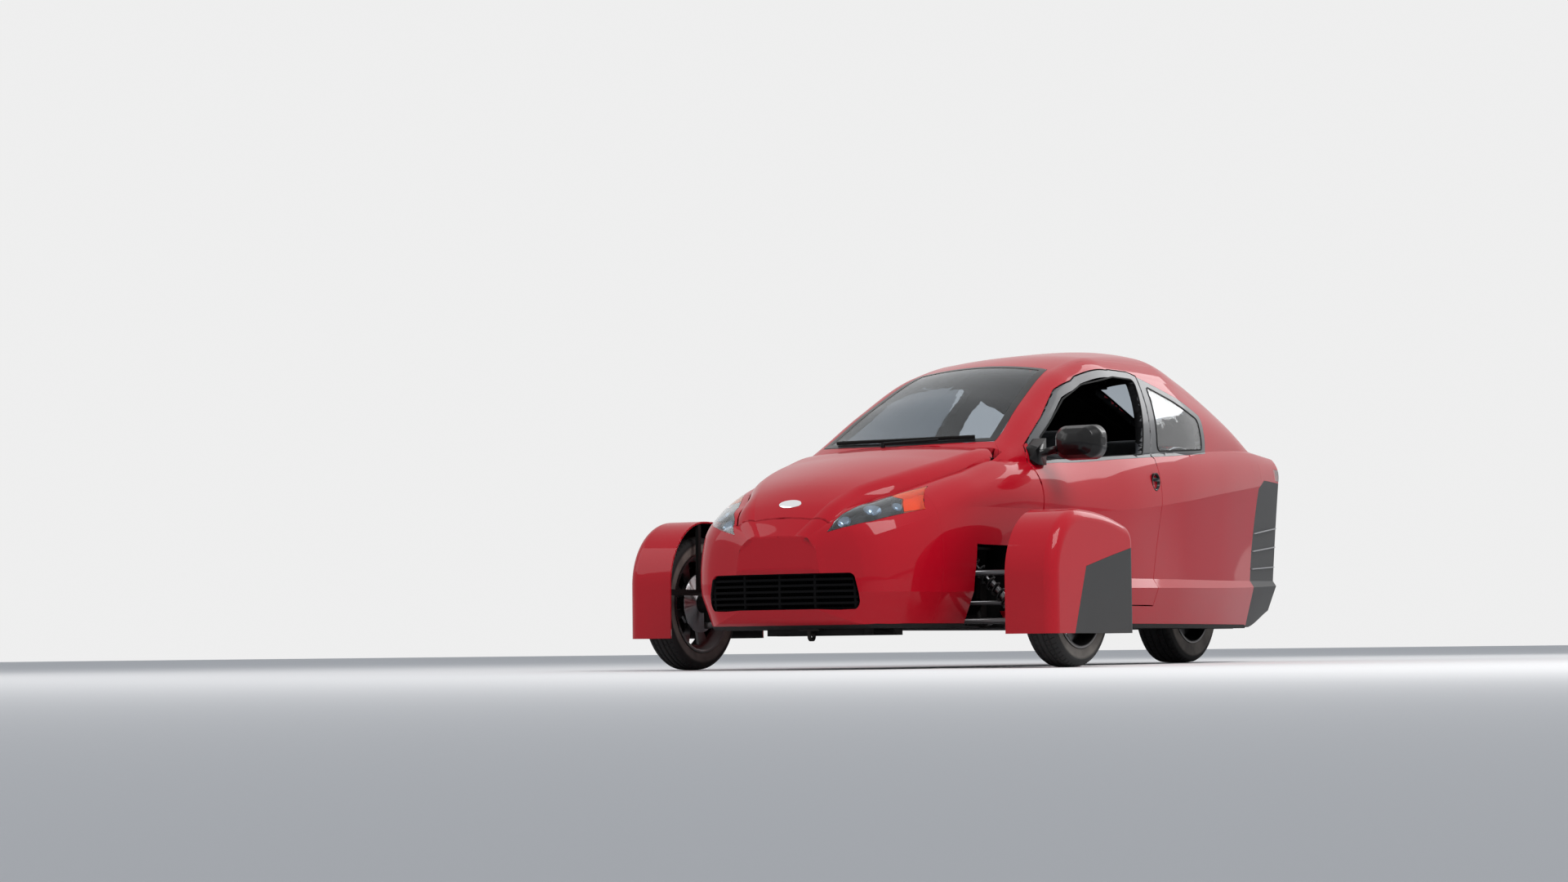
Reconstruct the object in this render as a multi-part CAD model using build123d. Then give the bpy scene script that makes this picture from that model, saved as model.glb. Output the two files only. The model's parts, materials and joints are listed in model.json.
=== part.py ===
from build123d import *
import math
import os

# A two-seat, one-door car on three wheels: two steered front wheels in their own pods,
# a narrow body that tapers to the tail, and one rear wheel in the middle of the body.
# The car faces -Y, its left side is +X, and the ground is at Z = 0. Sizes are in millimetres.
# A station is a distance behind the front axle.

# Main sizes
OVERALL_LENGTH = 4077
WHEELBASE = 2794
FRONT_OVERHANG = 700
FRONT_TRACK = 1710
FRONT_AXLE_Y = FRONT_OVERHANG - OVERALL_LENGTH / 2
NOSE = -FRONT_OVERHANG
TAIL = OVERALL_LENGTH - FRONT_OVERHANG

# Walls and gaps
BODY_WALL = 40
CAB_WALL = 35
FLOOR_WALL = 10
FLOOR_SPLIT_Z = 172
GLASS = 6
LIP = 12
SEAM = 0.8
SHUT_GAP = 5
PIN_GAP = 0.3

# Wheels
TYRE_RADIUS = 271
TYRE_WIDTH = 125
REAR_TYRE_RADIUS = 290
REAR_TYRE_WIDTH = 170
BEAD_RADIUS = 195
FLANGE_RADIUS = 200
FLANGE = 5
RIM_WALL = 6

# Front suspension, on the left side
KINGPIN_X = 765
ARM_LOW_Z = 180
ARM_HIGH_Z = 366
ARM_ROD = 11
ARM_EYE = 20
ARM_EYE_HEIGHT = 26
ARM_PIVOT_X = 436
ARM_PIVOTS = (-72, 150)
RACK_S = 120
RACK_Z = 252
RACK_RADIUS = 12
STEER_ARM_X = 752
TOWER_X = 408

# Pods
POD_INNER_X = 752
POD_OUTER_X = 958
POD_BOTTOM_Z = 128
POD_TOP_Z = 600
POD_FRONT = -300
POD_REAR = 395
POD_WALL = 8
POD_EDGE = 48

# Places along the car
SILL_Z = 155
FASCIA_END = -330
FIREWALL = 230
BULKHEAD = 2420
TAIL_PANEL = 3000
ROOF_FRONT = 960
HATCH_FRONT = 2252
HATCH_REAR = 3170
HOOD_FRONT = -652
DOOR_FRONT = 392
DOOR_REAR = 1480
DOOR_BOTTOM_Z = 250
ENGINE_FRONT = -500

# Hinges: the axes of the door, the hood and the hatch
DOOR_AXIS_X = 541
DOOR_AXIS_S = DOOR_FRONT - 43
HOOD_AXIS_S = 285
HOOD_AXIS_Z = 842
HATCH_AXIS_S = HATCH_FRONT - 60
HATCH_AXIS_Z = 1309
HINGE_BARREL = 6.5
HINGE_PIN = 3.5
STRAP = 8
STRAP_WIDTH = 22
DOOR_HINGES = (530, 675)
HOOD_HINGES = (-375, 375)
HATCH_HINGES = (-90, 90)

# Sections of the lower body: half width and height of each corner.
# station | sill | rocker | ledge | side | crease | shoulder | edge | deck | top height
LOWER = [
    (NOSE, (150, 235), (178, 290), (182, 330), (182, 385), (172, 440), (158, 474), (130, 496), (75, 503), 506),
    (-650, (300, 178), (345, 290), (348, 330), (346, 400), (326, 482), (292, 530), (204, 556), (130, 572), 580),
    (-590, (360, 163), (412, 290), (416, 335), (412, 420), (392, 510), (350, 562), (232, 603), (165, 630), 640),
    (-480, (415, SILL_Z), (464, 290), (470, 340), (470, 440), (448, 543), (400, 602), (272, 636), (215, 690), 708),
    (-300, (452, SILL_Z), (502, 290), (508, 345), (514, 470), (492, 590), (448, 660), (358, 692), (285, 748), 772),
    (-50, (465, SILL_Z), (518, 295), (522, 350), (536, 490), (530, 620), (504, 708), (412, 756), (355, 808), 834),
    (250, (475, SILL_Z), (530, 300), (528, 350), (548, 480), (556, 620), (540, 738), (445, 820), (400, 862), 886),
    (600, (485, SILL_Z), (548, 310), (532, 352), (556, 480), (574, 620), (565, 735), (515, 832), (440, 856), 880),
    (1100, (490, SILL_Z), (552, 318), (530, 358), (552, 490), (578, 640), (570, 760), (535, 868), (450, 888), 900),
    (1700, (462, SILL_Z), (522, 325), (498, 362), (516, 510), (544, 690), (536, 810), (500, 908), (420, 925), 935),
    (2300, (400, SILL_Z), (450, 332), (428, 366), (442, 530), (470, 750), (464, 850), (430, 938), (350, 952), 960),
    (2850, (310, SILL_Z), (356, 342), (336, 372), (346, 550), (376, 800), (370, 890), (340, 962), (260, 975), 980),
    (TAIL, (205, 240), (250, 356), (234, 380), (248, 570), (272, 848), (266, 915), (240, 955), (170, 962), 966),
]
# How each corner moves, across and up, for a wall one millimetre thick
LOWER_INSET = [(-1, 0), (-1, 0), (-1, 0), (-1, 0), (-1, -0.2), (-0.9, -0.5), (-0.6, -0.8), (-0.2, -1), -1]

# Sections of the cab.
# station | base | belt | side | rail | corner | roof | top height
CAB = [
    (0, (400, 600), (412, 700), (406, 735), (395, 755), (380, 764), (365, 768), 776),
    (300, (455, 600), (485, 790), (474, 832), (452, 862), (428, 880), (395, 892), 945),
    (600, (480, 600), (515, 830), (480, 950), (428, 1022), (396, 1048), (352, 1064), 1112),
    (950, (500, 600), (528, 860), (482, 1030), (410, 1168), (372, 1205), (312, 1224), 1252),
    (1300, (492, 600), (528, 885), (478, 1080), (402, 1235), (360, 1278), (290, 1302), 1322),
    (1900, (450, 600), (486, 915), (450, 1080), (375, 1225), (325, 1290), (240, 1338), 1372),
    (2250, (390, 600), (434, 935), (410, 1060), (345, 1175), (290, 1240), (215, 1290), 1325),
    (2700, (310, 600), (356, 955), (338, 1030), (300, 1085), (258, 1120), (190, 1145), 1172),
    (3200, (200, 600), (262, 920), (255, 925), (240, 930), (220, 935), (170, 940), 945),
]
CAB_INSET = [(-1, 0), (-1, 0), (-0.95, -0.3), (-0.85, -0.5), (-0.6, -0.8), (-0.2, -1), -1]

# Outlines in side view: station, height
SURROUND = [(400, 875), (600, 996), (800, 1115), (1000, 1189), (1320, 1242), (1520, 1244),
            (1880, 1175), (2220, 1092), (2170, 922), (500, 809)]
FRONT_WINDOW = [(520, 824), (520, 915), (625, 975), (815, 1088), (1010, 1160), (1322, 1212),
                (1545, 1214), (1365, 881)]
QUARTER_WINDOW = [(1530, 903), (1650, 1190), (1880, 1142), (2150, 1075), (2118, 938)]
TAIL_INSERT = [(2880, 100), (2910, 500), (2960, 800), (3060, 842), (TAIL + 20, 842), (TAIL + 20, 100)]
TAIL_LAMP = [(3290, 850), (3270, 905), (TAIL + 20, 905), (TAIL + 20, 850)]
# Outlines in front view: half width, height
HEADLAMP = [(198, 512), (232, 575), (290, 628), (350, 664), (408, 694), (458, 600), (350, 552)]
TURN_SIGNAL = [(330, 655), (408, 694), (458, 600), (420, 590), (385, 640)]
GRILLE = [(-300, 362), (300, 362), (335, 228), (-335, 228)]


def along(s):
    return s + FRONT_AXLE_Y


def mirrored(shape):
    return mirror(shape, about=Plane.YZ)


def both(shape):
    return shape + mirrored(shape)


# Section outlines and lofts
def section(s, start, steps, top_z):
    """A closed outline at station s. Each step up the side is a line's end or an arc's middle and end."""
    edges = []

    def place(corner, side):
        return Vector(side * corner[0], along(s), corner[1])

    edges.append(Edge.make_line(place(start, -1), place(start, 1)))
    for side in (1, -1):
        last = start
        for step in steps:
            if len(step) == 1:
                edges.append(Edge.make_line(place(last, side), place(step[0], side)))
            else:
                edges.append(Edge.make_three_point_arc(place(last, side), place(step[0], side), place(step[1], side)))
            last = step[-1]
    top = Vector(0, along(s), top_z)
    edges.append(Edge.make_three_point_arc(place(last, 1), top, place(last, -1)))
    return Face(Wire(edges))


def inset_row(row, rule, wall, bottom_wall):
    """The row's corners moved inward by a wall; the lowest corner rises by the bottom wall."""
    corners = [(x + wall * dx, z + wall * dz) for (x, z), (dx, dz) in zip(row[1:-1], rule[:-1])]
    corners[0] = (corners[0][0], row[1][1] + bottom_wall)
    return corners, row[-1] + rule[-1] * wall


def lower_section(row, wall, s):
    bottom_wall = FLOOR_WALL * wall / BODY_WALL
    corners, top = inset_row(row, LOWER_INSET, wall, bottom_wall)
    sill, rocker, ledge, side, crease, shoulder, edge, deck = corners
    # the deck's arc bulges a tenth of its own length
    bulge = 0.1 * math.dist(edge, deck)
    middle = ((edge[0] + deck[0]) / 2 + bulge, (edge[1] + deck[1]) / 2 + bulge)
    steps = [(rocker,), (ledge,), (side, crease), (shoulder, edge), (middle, deck)]
    return section(s, sill, steps, top)


def lower_loft(wall):
    """The lower body's form, moved inward by a wall at its sides and at both ends."""
    sections = []
    for row in LOWER:
        s = min(max(row[0], NOSE + wall), TAIL - wall)
        if row[0] == NOSE or row[0] > NOSE + wall + 20:
            sections.append(lower_section(row, wall, s))
    return loft(sections, ruled=True)


def cab_loft(wall):
    sections = []
    for row in CAB:
        corners, top = inset_row(row, CAB_INSET, wall, 0)
        base, belt, side, rail, corner, roof = corners
        sections.append(section(row[0], base, [(belt,), (side, rail), (corner, roof)], top))
    return loft(sections, ruled=True)


# Cutters: an outline carried across, along or up the car
def outline(points, corner, grow):
    shape = Polygon(*points, align=None)
    if corner:
        shape = fillet(shape.vertices(), corner)
    if grow:
        shape = offset(shape, grow)
    return shape


def cut_across(points, x_low, x_high, corner=0, grow=0):
    """An outline of (station, height) carried along X."""
    placed = [(along(s), z) for s, z in points]
    return extrude(Plane.YZ.offset(x_low) * outline(placed, corner, grow), x_high - x_low, dir=(1, 0, 0))


def cut_along(points, s_low, s_high, corner=0, grow=0):
    """An outline of (half width, height) carried along Y."""
    return extrude(Plane.XZ.offset(-along(s_low)) * outline(points, corner, grow), s_high - s_low, dir=(0, 1, 0))


def cut_up(points, z_low, z_high, corner=0, grow=0):
    """An outline of (half width, station) carried up."""
    placed = [(x, along(s)) for x, s in points]
    return extrude(Plane.XY.offset(z_low) * outline(placed, corner, grow), z_high - z_low, dir=(0, 0, 1))


def block(x_low, x_high, s_low, s_high, z_low, z_high):
    size = (x_high - x_low, s_high - s_low, z_high - z_low)
    centre = ((x_low + x_high) / 2, along((s_low + s_high) / 2), (z_low + z_high) / 2)
    return Pos(*centre) * Box(*size)


def rod(start, end, radius):
    """A round bar between two points given as (x, station, height)."""
    first = Vector(start[0], along(start[1]), start[2])
    last = Vector(end[0], along(end[1]), end[2])
    run = last - first
    return extrude(Plane(first, z_dir=run) * Circle(radius), run.length)


def strap_outline(points, thick):
    """A flat bent bar's outline, with round ends, through the points."""
    shape = Sketch()
    for (x1, y1), (x2, y2) in zip(points, points[1:]):
        length = math.hypot(x2 - x1, y2 - y1)
        turn = math.degrees(math.atan2(y2 - y1, x2 - x1))
        shape += Pos((x1 + x2) / 2, (y1 + y2) / 2) * Rot(0, 0, turn) * SlotCenterToCenter(length, thick)
    return shape


def mirrored_points(half):
    """A closed outline from the points of its right half, front to rear or low to high."""
    return half + [(-x, v) for x, v in reversed(half)]


def arc_points(half_width, end_s, middle_s, count):
    """Stations along a circular arc across the car, from the left end to the right end."""
    rise = end_s - middle_s
    radius = (half_width ** 2 + rise ** 2) / (2 * rise)
    xs = [half_width * (1 - 2 * k / (count - 1)) for k in range(count)]
    return [(x, middle_s + radius - math.sqrt(radius ** 2 - x ** 2)) for x in xs]


# Plan outlines of the hood, windscreen, roof and hatch
HOOD_REAR_SIDE = 250
HOOD_REAR_MIDDLE = 145
HOOD_REAR_WIDTH = 438
HOOD_REAR_GAP = 7
SCREEN_BASE_WIDTH = 395
SCREEN_BASE_SIDE = 300
SCREEN_BASE_MIDDLE = 190
SCREEN_TOP_WIDTH = 302
SCREEN_TOP = 950


def hood_plan(rear_gap):
    """The hood follows the body's edge line and ends in an arc ahead of the windscreen."""
    side = [(row[7][0], row[0]) for row in LOWER if HOOD_FRONT < row[0] < FIREWALL]
    side[0] = (side[0][0], HOOD_FRONT)
    rear = arc_points(HOOD_REAR_WIDTH, HOOD_REAR_SIDE + rear_gap, HOOD_REAR_MIDDLE + rear_gap, 9)
    return side + rear + [(-x, s) for x, s in reversed(side)]


def screen_plan():
    base = arc_points(SCREEN_BASE_WIDTH, SCREEN_BASE_SIDE, SCREEN_BASE_MIDDLE, 9)
    return [(SCREEN_TOP_WIDTH, SCREEN_TOP)] + base + [(-SCREEN_TOP_WIDTH, SCREEN_TOP)]


def cowl_plan():
    base = arc_points(SCREEN_BASE_WIDTH, SCREEN_BASE_SIDE, SCREEN_BASE_MIDDLE, 9)
    front = arc_points(HOOD_REAR_WIDTH, HOOD_REAR_SIDE, HOOD_REAR_MIDDLE, 9)
    return front + base[::-1]


ROOF_PLAN = mirrored_points([(335, ROOF_FRONT), (350, 1300), (315, 1900), (282, HATCH_FRONT - 8)])


def hatch_plan(end_gap):
    return mirrored_points([(250, HATCH_FRONT - end_gap), (225, 2700), (182, HATCH_REAR + end_gap)])


REAR_WINDOW = mirrored_points([(190, 2345), (172, 2760)])


def door_points(front_gap, rear_gap):
    upper = [(600, 996), (800, 1115), (1000, 1189), (1320, 1242), (1520, 1244)]
    front = DOOR_FRONT - front_gap
    return [(front, DOOR_BOTTOM_Z), (front, 836), (400, 875)] + upper + [
        (1592 + rear_gap, 1231), (1450 + rear_gap, 880), (DOOR_REAR, 866), (DOOR_REAR, DOOR_BOTTOM_Z)]


def door_skin_points():
    """The door below its window surround. The top edge runs inside the surround, which is cut away."""
    return [(DOOR_FRONT, DOOR_BOTTOM_Z), (DOOR_FRONT, 836), (400, 875), (422, 888), (434, 878), (520, 840),
            (1440, 900), (1450, 880), (DOOR_REAR, 866), (DOOR_REAR, DOOR_BOTTOM_Z)]


# Cutters that more than one panel uses
def suspension_gap():
    arch = [(-105, 100), (-105, 474), (212, 474), (212, 100)]
    return cut_across(arch, 408, 700) + cut_across(arch, -700, -408)


WHEELHOUSE_RADIUS = 330
WHEELHOUSE_WIDTH = 260
WHEELHOUSE_WALL = 5


def wheelhouse_hole():
    return wheelhouse_form(WHEELHOUSE_WALL + SEAM)


def wheelhouse_form(grow):
    half = WHEELHOUSE_WIDTH / 2 + grow
    reach = WHEELHOUSE_RADIUS + grow
    drum = rod((-half, WHEELBASE, REAR_TYRE_RADIUS), (half, WHEELBASE, REAR_TYRE_RADIUS), reach)
    box = block(-half, half, WHEELBASE - reach, WHEELBASE + reach, 0, REAR_TYRE_RADIUS)
    return drum + box


# Build the forms
lower_outer = lower_loft(0)
lower_lip = lower_loft(LIP)
lower_inner = lower_loft(BODY_WALL)
cab_outer = cab_loft(0)
cab_glass = cab_loft(GLASS)
cab_inner = cab_loft(CAB_WALL)
cabin = lower_inner + cab_inner
shell = (lower_outer + cab_outer) - cabin
glass_skin = cab_outer - cab_glass - lower_outer

hood_cut = cut_up(hood_plan(0), 480, 1000)
hood_hole = cut_up(hood_plan(HOOD_REAR_GAP), 480, 1000, grow=SHUT_GAP)
screen_cut = cut_up(screen_plan(), 800, 1300)
roof_cut = cut_up(ROOF_PLAN, 1050, 1500)
hatch_cut = cut_up(hatch_plan(0), 860, 1400)
hatch_hole = cut_up(hatch_plan(3), 860, 1400, grow=SHUT_GAP)
door_cut = cut_across(door_points(0, 0), 200, 700)
door_hole = cut_across(door_points(5, 7), 200, 700, grow=SHUT_GAP)
surround_cut = cut_across(SURROUND, -700, 700, corner=28)
front_window_cut = cut_across(FRONT_WINDOW, -700, 700, corner=22)
quarter_cut = cut_across(QUARTER_WINDOW, -700, 700, corner=24)
lamp_cut = both(cut_along(HEADLAMP, NOSE - 20, -180))
signal_cut = both(cut_along(TURN_SIGNAL, NOSE - 20, -180))
grille_cut = cut_along(GRILLE, NOSE - 20, -560, corner=25)
insert_cut = cut_across(TAIL_INSERT, 150, 500) + cut_across(TAIL_INSERT, -500, -150)
tail_lamp_cut = cut_across(TAIL_LAMP, 120, 500) + cut_across(TAIL_LAMP, -500, -120)


parts = {}


def seam(cut_function, points, low, high, **options):
    """A cutter that is larger than its panel by the seam."""
    return cut_function(points, low, high, grow=SEAM, **options)


def largest(shape, count=1):
    """The count largest solids, without slivers that a seam leaves."""
    solids = sorted(shape.solids(), key=lambda solid: -solid.volume)
    return Part(children=[]) + solids[:count]


# Hinges. A bent strap on the moving panel turns about a pin on the fixed one.
def strap_plate(points, width, plane):
    """A bent strap with its barrel at the plane's origin, as wide as given and centred on the plane."""
    flat = strap_outline(points, STRAP) + Circle(HINGE_BARREL)
    return extrude(plane.offset(-width / 2) * (flat - Circle(HINGE_PIN + PIN_GAP)), width, dir=plane.z_dir)


def door_straps():
    shape = Part()
    for z in DOOR_HINGES:
        axis = Plane((DOOR_AXIS_X, along(DOOR_AXIS_S), z))
        shape += strap_plate([(0, 0), (-55, 43), (-55, 90)], STRAP_WIDTH, axis)
        shape += block(DOOR_AXIS_X - 57, DOOR_AXIS_X, DOOR_FRONT + 8, DOOR_FRONT + 44,
                       z - STRAP_WIDTH / 2 + 2, z + STRAP_WIDTH / 2 - 2)
    return shape


def door_pockets():
    shape = Part()
    for z in DOOR_HINGES:
        shape += block(DOOR_AXIS_X - 75, DOOR_AXIS_X + 8.5, DOOR_AXIS_S - 12, DOOR_FRONT,
                       z - STRAP_WIDTH, z + STRAP_WIDTH)
    return shape


def door_pins():
    shape = Part()
    reach = STRAP_WIDTH / 2
    for z in DOOR_HINGES:
        shape += rod((DOOR_AXIS_X, DOOR_AXIS_S, z - reach - 9), (DOOR_AXIS_X, DOOR_AXIS_S, z + reach + 9), HINGE_PIN)
        for low in (z - reach - 9, z + reach + 1):
            shape += block(DOOR_AXIS_X - 8, DOOR_AXIS_X + 7, DOOR_AXIS_S - 14, DOOR_AXIS_S + 6, low, low + 8)
    return shape


def hood_straps():
    shape = Part()
    for x in HOOD_HINGES:
        axis = Plane((x, along(HOOD_AXIS_S), HOOD_AXIS_Z), x_dir=(0, 1, 0), z_dir=(1, 0, 0))
        shape += strap_plate([(0, 0), (-20, -62), (-120, -62), (-175, -22)], STRAP_WIDTH, axis)
    return shape


def hood_pins():
    shape = Part()
    reach = STRAP_WIDTH / 2
    for x in HOOD_HINGES:
        shape += rod((x - reach - 7, HOOD_AXIS_S, HOOD_AXIS_Z), (x + reach + 7, HOOD_AXIS_S, HOOD_AXIS_Z), HINGE_PIN)
        for low in (x - reach - 7, x + reach + 1):
            shape += block(low, low + 6, HOOD_AXIS_S - 6, HOOD_AXIS_S + 6, HOOD_AXIS_Z - 6, HOOD_AXIS_Z + 26)
    return shape


def hatch_straps():
    shape = Part()
    for x in HATCH_HINGES:
        axis = Plane((x, along(HATCH_AXIS_S), HATCH_AXIS_Z), x_dir=(0, 1, 0), z_dir=(1, 0, 0))
        shape += strap_plate([(0, 0), (-6, -66), (80, -66), (80, -12)], STRAP_WIDTH, axis)
    return shape


def hatch_pockets():
    shape = Part()
    for x in HATCH_HINGES:
        shape += block(x - STRAP_WIDTH, x + STRAP_WIDTH, HATCH_AXIS_S - 12, HATCH_AXIS_S + 44,
                       HATCH_AXIS_Z - 80, HATCH_AXIS_Z + 8.5)
    return shape


def hatch_pins():
    shape = Part()
    reach = STRAP_WIDTH / 2
    for x in HATCH_HINGES:
        shape += rod((x - reach - 9, HATCH_AXIS_S, HATCH_AXIS_Z), (x + reach + 9, HATCH_AXIS_S, HATCH_AXIS_Z), HINGE_PIN)
        for low in (x - reach - 9, x + reach + 1):
            shape += block(low, low + 8, HATCH_AXIS_S - 14, HATCH_AXIS_S + 6, HATCH_AXIS_Z - 6, HATCH_AXIS_Z + 7)
    return shape


# Body panels
def make_panels():
    above_floor = shell & block(-700, 700, NOSE - 10, TAIL + 10, FLOOR_SPLIT_Z, 1500)
    hood = (shell - cab_outer) & hood_cut
    hood -= lower_lip & (block(-700, 700, NOSE, -595, 300, 900) + block(-700, 700, 118, 400, 300, 900))
    parts["hood"] = largest(hood) + hood_straps()
    hatch = shell & hatch_cut
    hatch -= (lower_lip + cab_glass) & block(-700, 700, HATCH_REAR - 60, TAIL, 300, 1400)
    parts["hatch_lid"] = largest(hatch - cut_up(REAR_WINDOW, 860, 1400, corner=40)) + hatch_straps()
    parts["rear_glass"] = largest(glass_skin & cut_up(REAR_WINDOW, 860, 1400, corner=40, grow=-SEAM))
    parts["windshield"] = largest(glass_skin & cut_up(screen_plan(), 800, 1300, grow=-SEAM))

    frame = above_floor - hood_hole - screen_cut - hatch_hole - suspension_gap() - wheelhouse_hole()
    frame -= lamp_cut
    frame -= grille_cut
    frame -= insert_cut
    frame -= tail_lamp_cut
    cowl_cut = cut_up(cowl_plan(), 700, 1100)
    parts["cowl_panel"] = largest(frame & cowl_cut) + hood_pins() - wiper_spindle(PIN_GAP)
    frame -= cut_up(cowl_plan(), 700, 1100, grow=SEAM)
    parts["roof_panel"] = largest(frame & roof_cut) - hatch_pockets() + hatch_pins()
    frame -= seam(cut_up, ROOF_PLAN, 1050, 1500)
    parts["nose_fascia"] = largest(frame & block(-700, 700, NOSE - 10, FASCIA_END, 100, 1000))
    parts["tail_panel"] = largest(frame & block(-700, 700, TAIL_PANEL, TAIL + 10, 100, 1400))
    sides = frame & block(-700, 700, FASCIA_END + SEAM, TAIL_PANEL - SEAM, 100, 1500)
    glazing = surround_cut & shell
    sides -= surround_cut
    left = sides & block(0.4, 700, -400, 3100, 100, 1500)
    parts["body_side_left"] = largest(left - door_hole - door_pockets()) + door_pins()
    parts["body_side_right"] = largest(sides & block(-700, -0.4, -400, 3100, 100, 1500))

    door = (shell & cut_across(door_skin_points(), 200, 700)) - surround_cut
    parts["door_shell"] = largest(door - door_handle_cut()) + door_straps()
    inner_surround = cut_across(SURROUND, -700, 700, corner=28, grow=-SEAM)
    parts["door_window_frame"] = largest((glazing & door_cut & inner_surround) - front_window_cut)
    left_trim = (glazing - door_hole) & inner_surround & block(200, 700, -400, 3100, 100, 1500)
    left_trim = largest(left_trim - quarter_cut)
    right_trim = glazing & inner_surround & block(-700, -200, -400, 3100, 100, 1500)
    parts["window_trims"] = left_trim + largest(right_trim - quarter_cut - front_window_cut)
    quarter_panes = cut_across(QUARTER_WINDOW, -700, 700, corner=24, grow=-SEAM)
    side_pane = cut_across(FRONT_WINDOW, -700, -200, corner=22, grow=-SEAM)
    parts["side_windows"] = largest(glass_skin & quarter_panes, 2) + largest(glass_skin & side_pane)

    lamps = both(cut_along(HEADLAMP, NOSE - 20, -180, grow=-SEAM)) & (shell - cab_outer)
    parts["headlamps"] = largest((lamps - hood_hole) - both(cut_along(TURN_SIGNAL, NOSE - 20, -180, grow=SEAM)), 2)
    parts["turn_signals"] = largest((lamps - hood_hole) & signal_cut, 2)
    inserts = cut_across(TAIL_INSERT, 150, 500, grow=-SEAM) + cut_across(TAIL_INSERT, -500, -150, grow=-SEAM)
    parts["tail_trim"] = largest((above_floor & inserts) - hatch_hole - wheelhouse_hole(), 2)
    lamps = cut_across(TAIL_LAMP, 120, 500, grow=-SEAM) + cut_across(TAIL_LAMP, -500, -120, grow=-SEAM)
    parts["tail_lamps"] = largest(shell & lamps, 2)


HANDLE_S = 1420
HANDLE_Z = 768
HANDLE_RADIUS = 38
HANDLE_DEPTH = 20
HANDLE_FACE_X = 568


def door_handle_cut():
    return rod((HANDLE_FACE_X - HANDLE_DEPTH, HANDLE_S, HANDLE_Z), (620, HANDLE_S, HANDLE_Z), HANDLE_RADIUS)


GRILLE_BARS = 6
GRILLE_BAR = 9
GRILLE_DEPTH = 30


def make_grille():
    """Bars across the mouth and three uprights, set back behind the fascia's face."""
    bottom = GRILLE[2][1]
    pitch = (GRILLE[0][1] - bottom) / GRILLE_BARS
    bars = Part()
    for k in range(GRILLE_BARS + 1):
        z = bottom + k * pitch
        bars += block(-400, 400, NOSE, -500, z - GRILLE_BAR / 2, z + GRILLE_BAR / 2)
    for x in (-310, -155, 0, 155, 310):
        bars += block(x - GRILLE_BAR / 2, x + GRILLE_BAR / 2, NOSE, -500, bottom, GRILLE[0][1])
    mouth = cut_along(GRILLE, NOSE - 20, -560, corner=25, grow=-SEAM)
    parts["grille"] = largest(bars & mouth & (lower_lip - lower_inner))


# Underbody
TUNNEL_RIB_Z = 130
JACK_PAD = 90
JACK_PAD_DROP = 5
JACK_PAD_X = 400
JACK_PAD_S = 700


def make_floor():
    pan = shell & block(-700, 700, NOSE - 10, 2950, 100, FLOOR_SPLIT_Z - SEAM)
    pan = pan - suspension_gap() - wheelhouse_hole() - insert_cut
    for s, half_width in ((-395, 215), (-250, 260)):
        pan += block(-half_width, half_width, s - 35, s + 35, TUNNEL_RIB_Z, SILL_Z + FLOOR_WALL / 2)
    for x in (-JACK_PAD_X, JACK_PAD_X):
        pan += block(x - JACK_PAD / 2, x + JACK_PAD / 2, JACK_PAD_S - JACK_PAD / 2, JACK_PAD_S + JACK_PAD / 2,
                     SILL_Z - JACK_PAD_DROP, SILL_Z + FLOOR_WALL / 2)
    parts["floor_pan"] = largest(pan)
    wall = FIREWALL + LIP
    slab = cabin & block(-700, 700, FIREWALL, wall, FLOOR_SPLIT_Z, 760)
    rear_wall = cabin & block(-700, 700, BULKHEAD, BULKHEAD + LIP, FLOOR_SPLIT_Z, 900)
    parts["bulkheads"] = largest(slab) + largest(rear_wall)
    hollow = wheelhouse_form(0)
    tub = (wheelhouse_form(WHEELHOUSE_WALL) - hollow) & block(-700, 700, 2000, 3300, SILL_Z, 1000)
    parts["rear_wheelhouse"] = largest(tub)


SUBFRAME_RAIL_X = 340
SUBFRAME_RAIL = 40
SUBFRAME_FRONT = -480
SUBFRAME_REAR = 222
FLOOR_TOP = SILL_Z + FLOOR_WALL
TOWER_THICK = 10


def make_subframe():
    """Two rails on the floor, cross members, and the towers that carry the arms."""
    low = FLOOR_TOP + PIN_GAP
    frame = Part()
    for side in (-1, 1):
        x = side * SUBFRAME_RAIL_X
        frame += block(x - SUBFRAME_RAIL / 2, x + SUBFRAME_RAIL / 2, SUBFRAME_FRONT, SUBFRAME_REAR,
                       low, low + SUBFRAME_RAIL)
    for s in (SUBFRAME_FRONT + 30, -60, SUBFRAME_REAR - 30):
        frame += block(-SUBFRAME_RAIL_X, SUBFRAME_RAIL_X, s - 25, s + 25, low, low + SUBFRAME_RAIL)
    for side in (-1, 1):
        x_low, x_high = sorted((side * SUBFRAME_RAIL_X, side * (TOWER_X + TOWER_THICK)))
        for s in ARM_PIVOTS:
            post = block(x_low, x_high, s - 24, s + 24, low, ARM_HIGH_Z + 30)
            frame += post - block(*sorted((side * 300, side * (TOWER_X - TOWER_THICK))), s - 40, s + 40,
                                  low + SUBFRAME_RAIL, ARM_HIGH_Z + 10)
        shelf_low, shelf_high = sorted((side * (SUBFRAME_RAIL_X + 20), side * (COILOVER_HIGH[0] + 30)))
        frame += block(shelf_low, shelf_high, ARM_PIVOTS[0] - 24, ARM_PIVOTS[1] + 24, SHELF_Z, SHELF_Z + TOWER_THICK)
        for s in ARM_PIVOTS:
            frame += block(x_low, x_high, s - 24, s + 24, ARM_HIGH_Z + 10, SHELF_Z + TOWER_THICK)
    frame -= rod((-700, RACK_S, RACK_Z), (700, RACK_S, RACK_Z), RACK_RADIUS + SHUT_GAP)
    parts["subframe"] = frame


EYE_HOLE = 13
EYE_RADIUS = 20
EYE_THICK = 14
EYE_S = -458
EYE_DROP = 26
EYE_FOOT = (90, 6)


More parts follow.
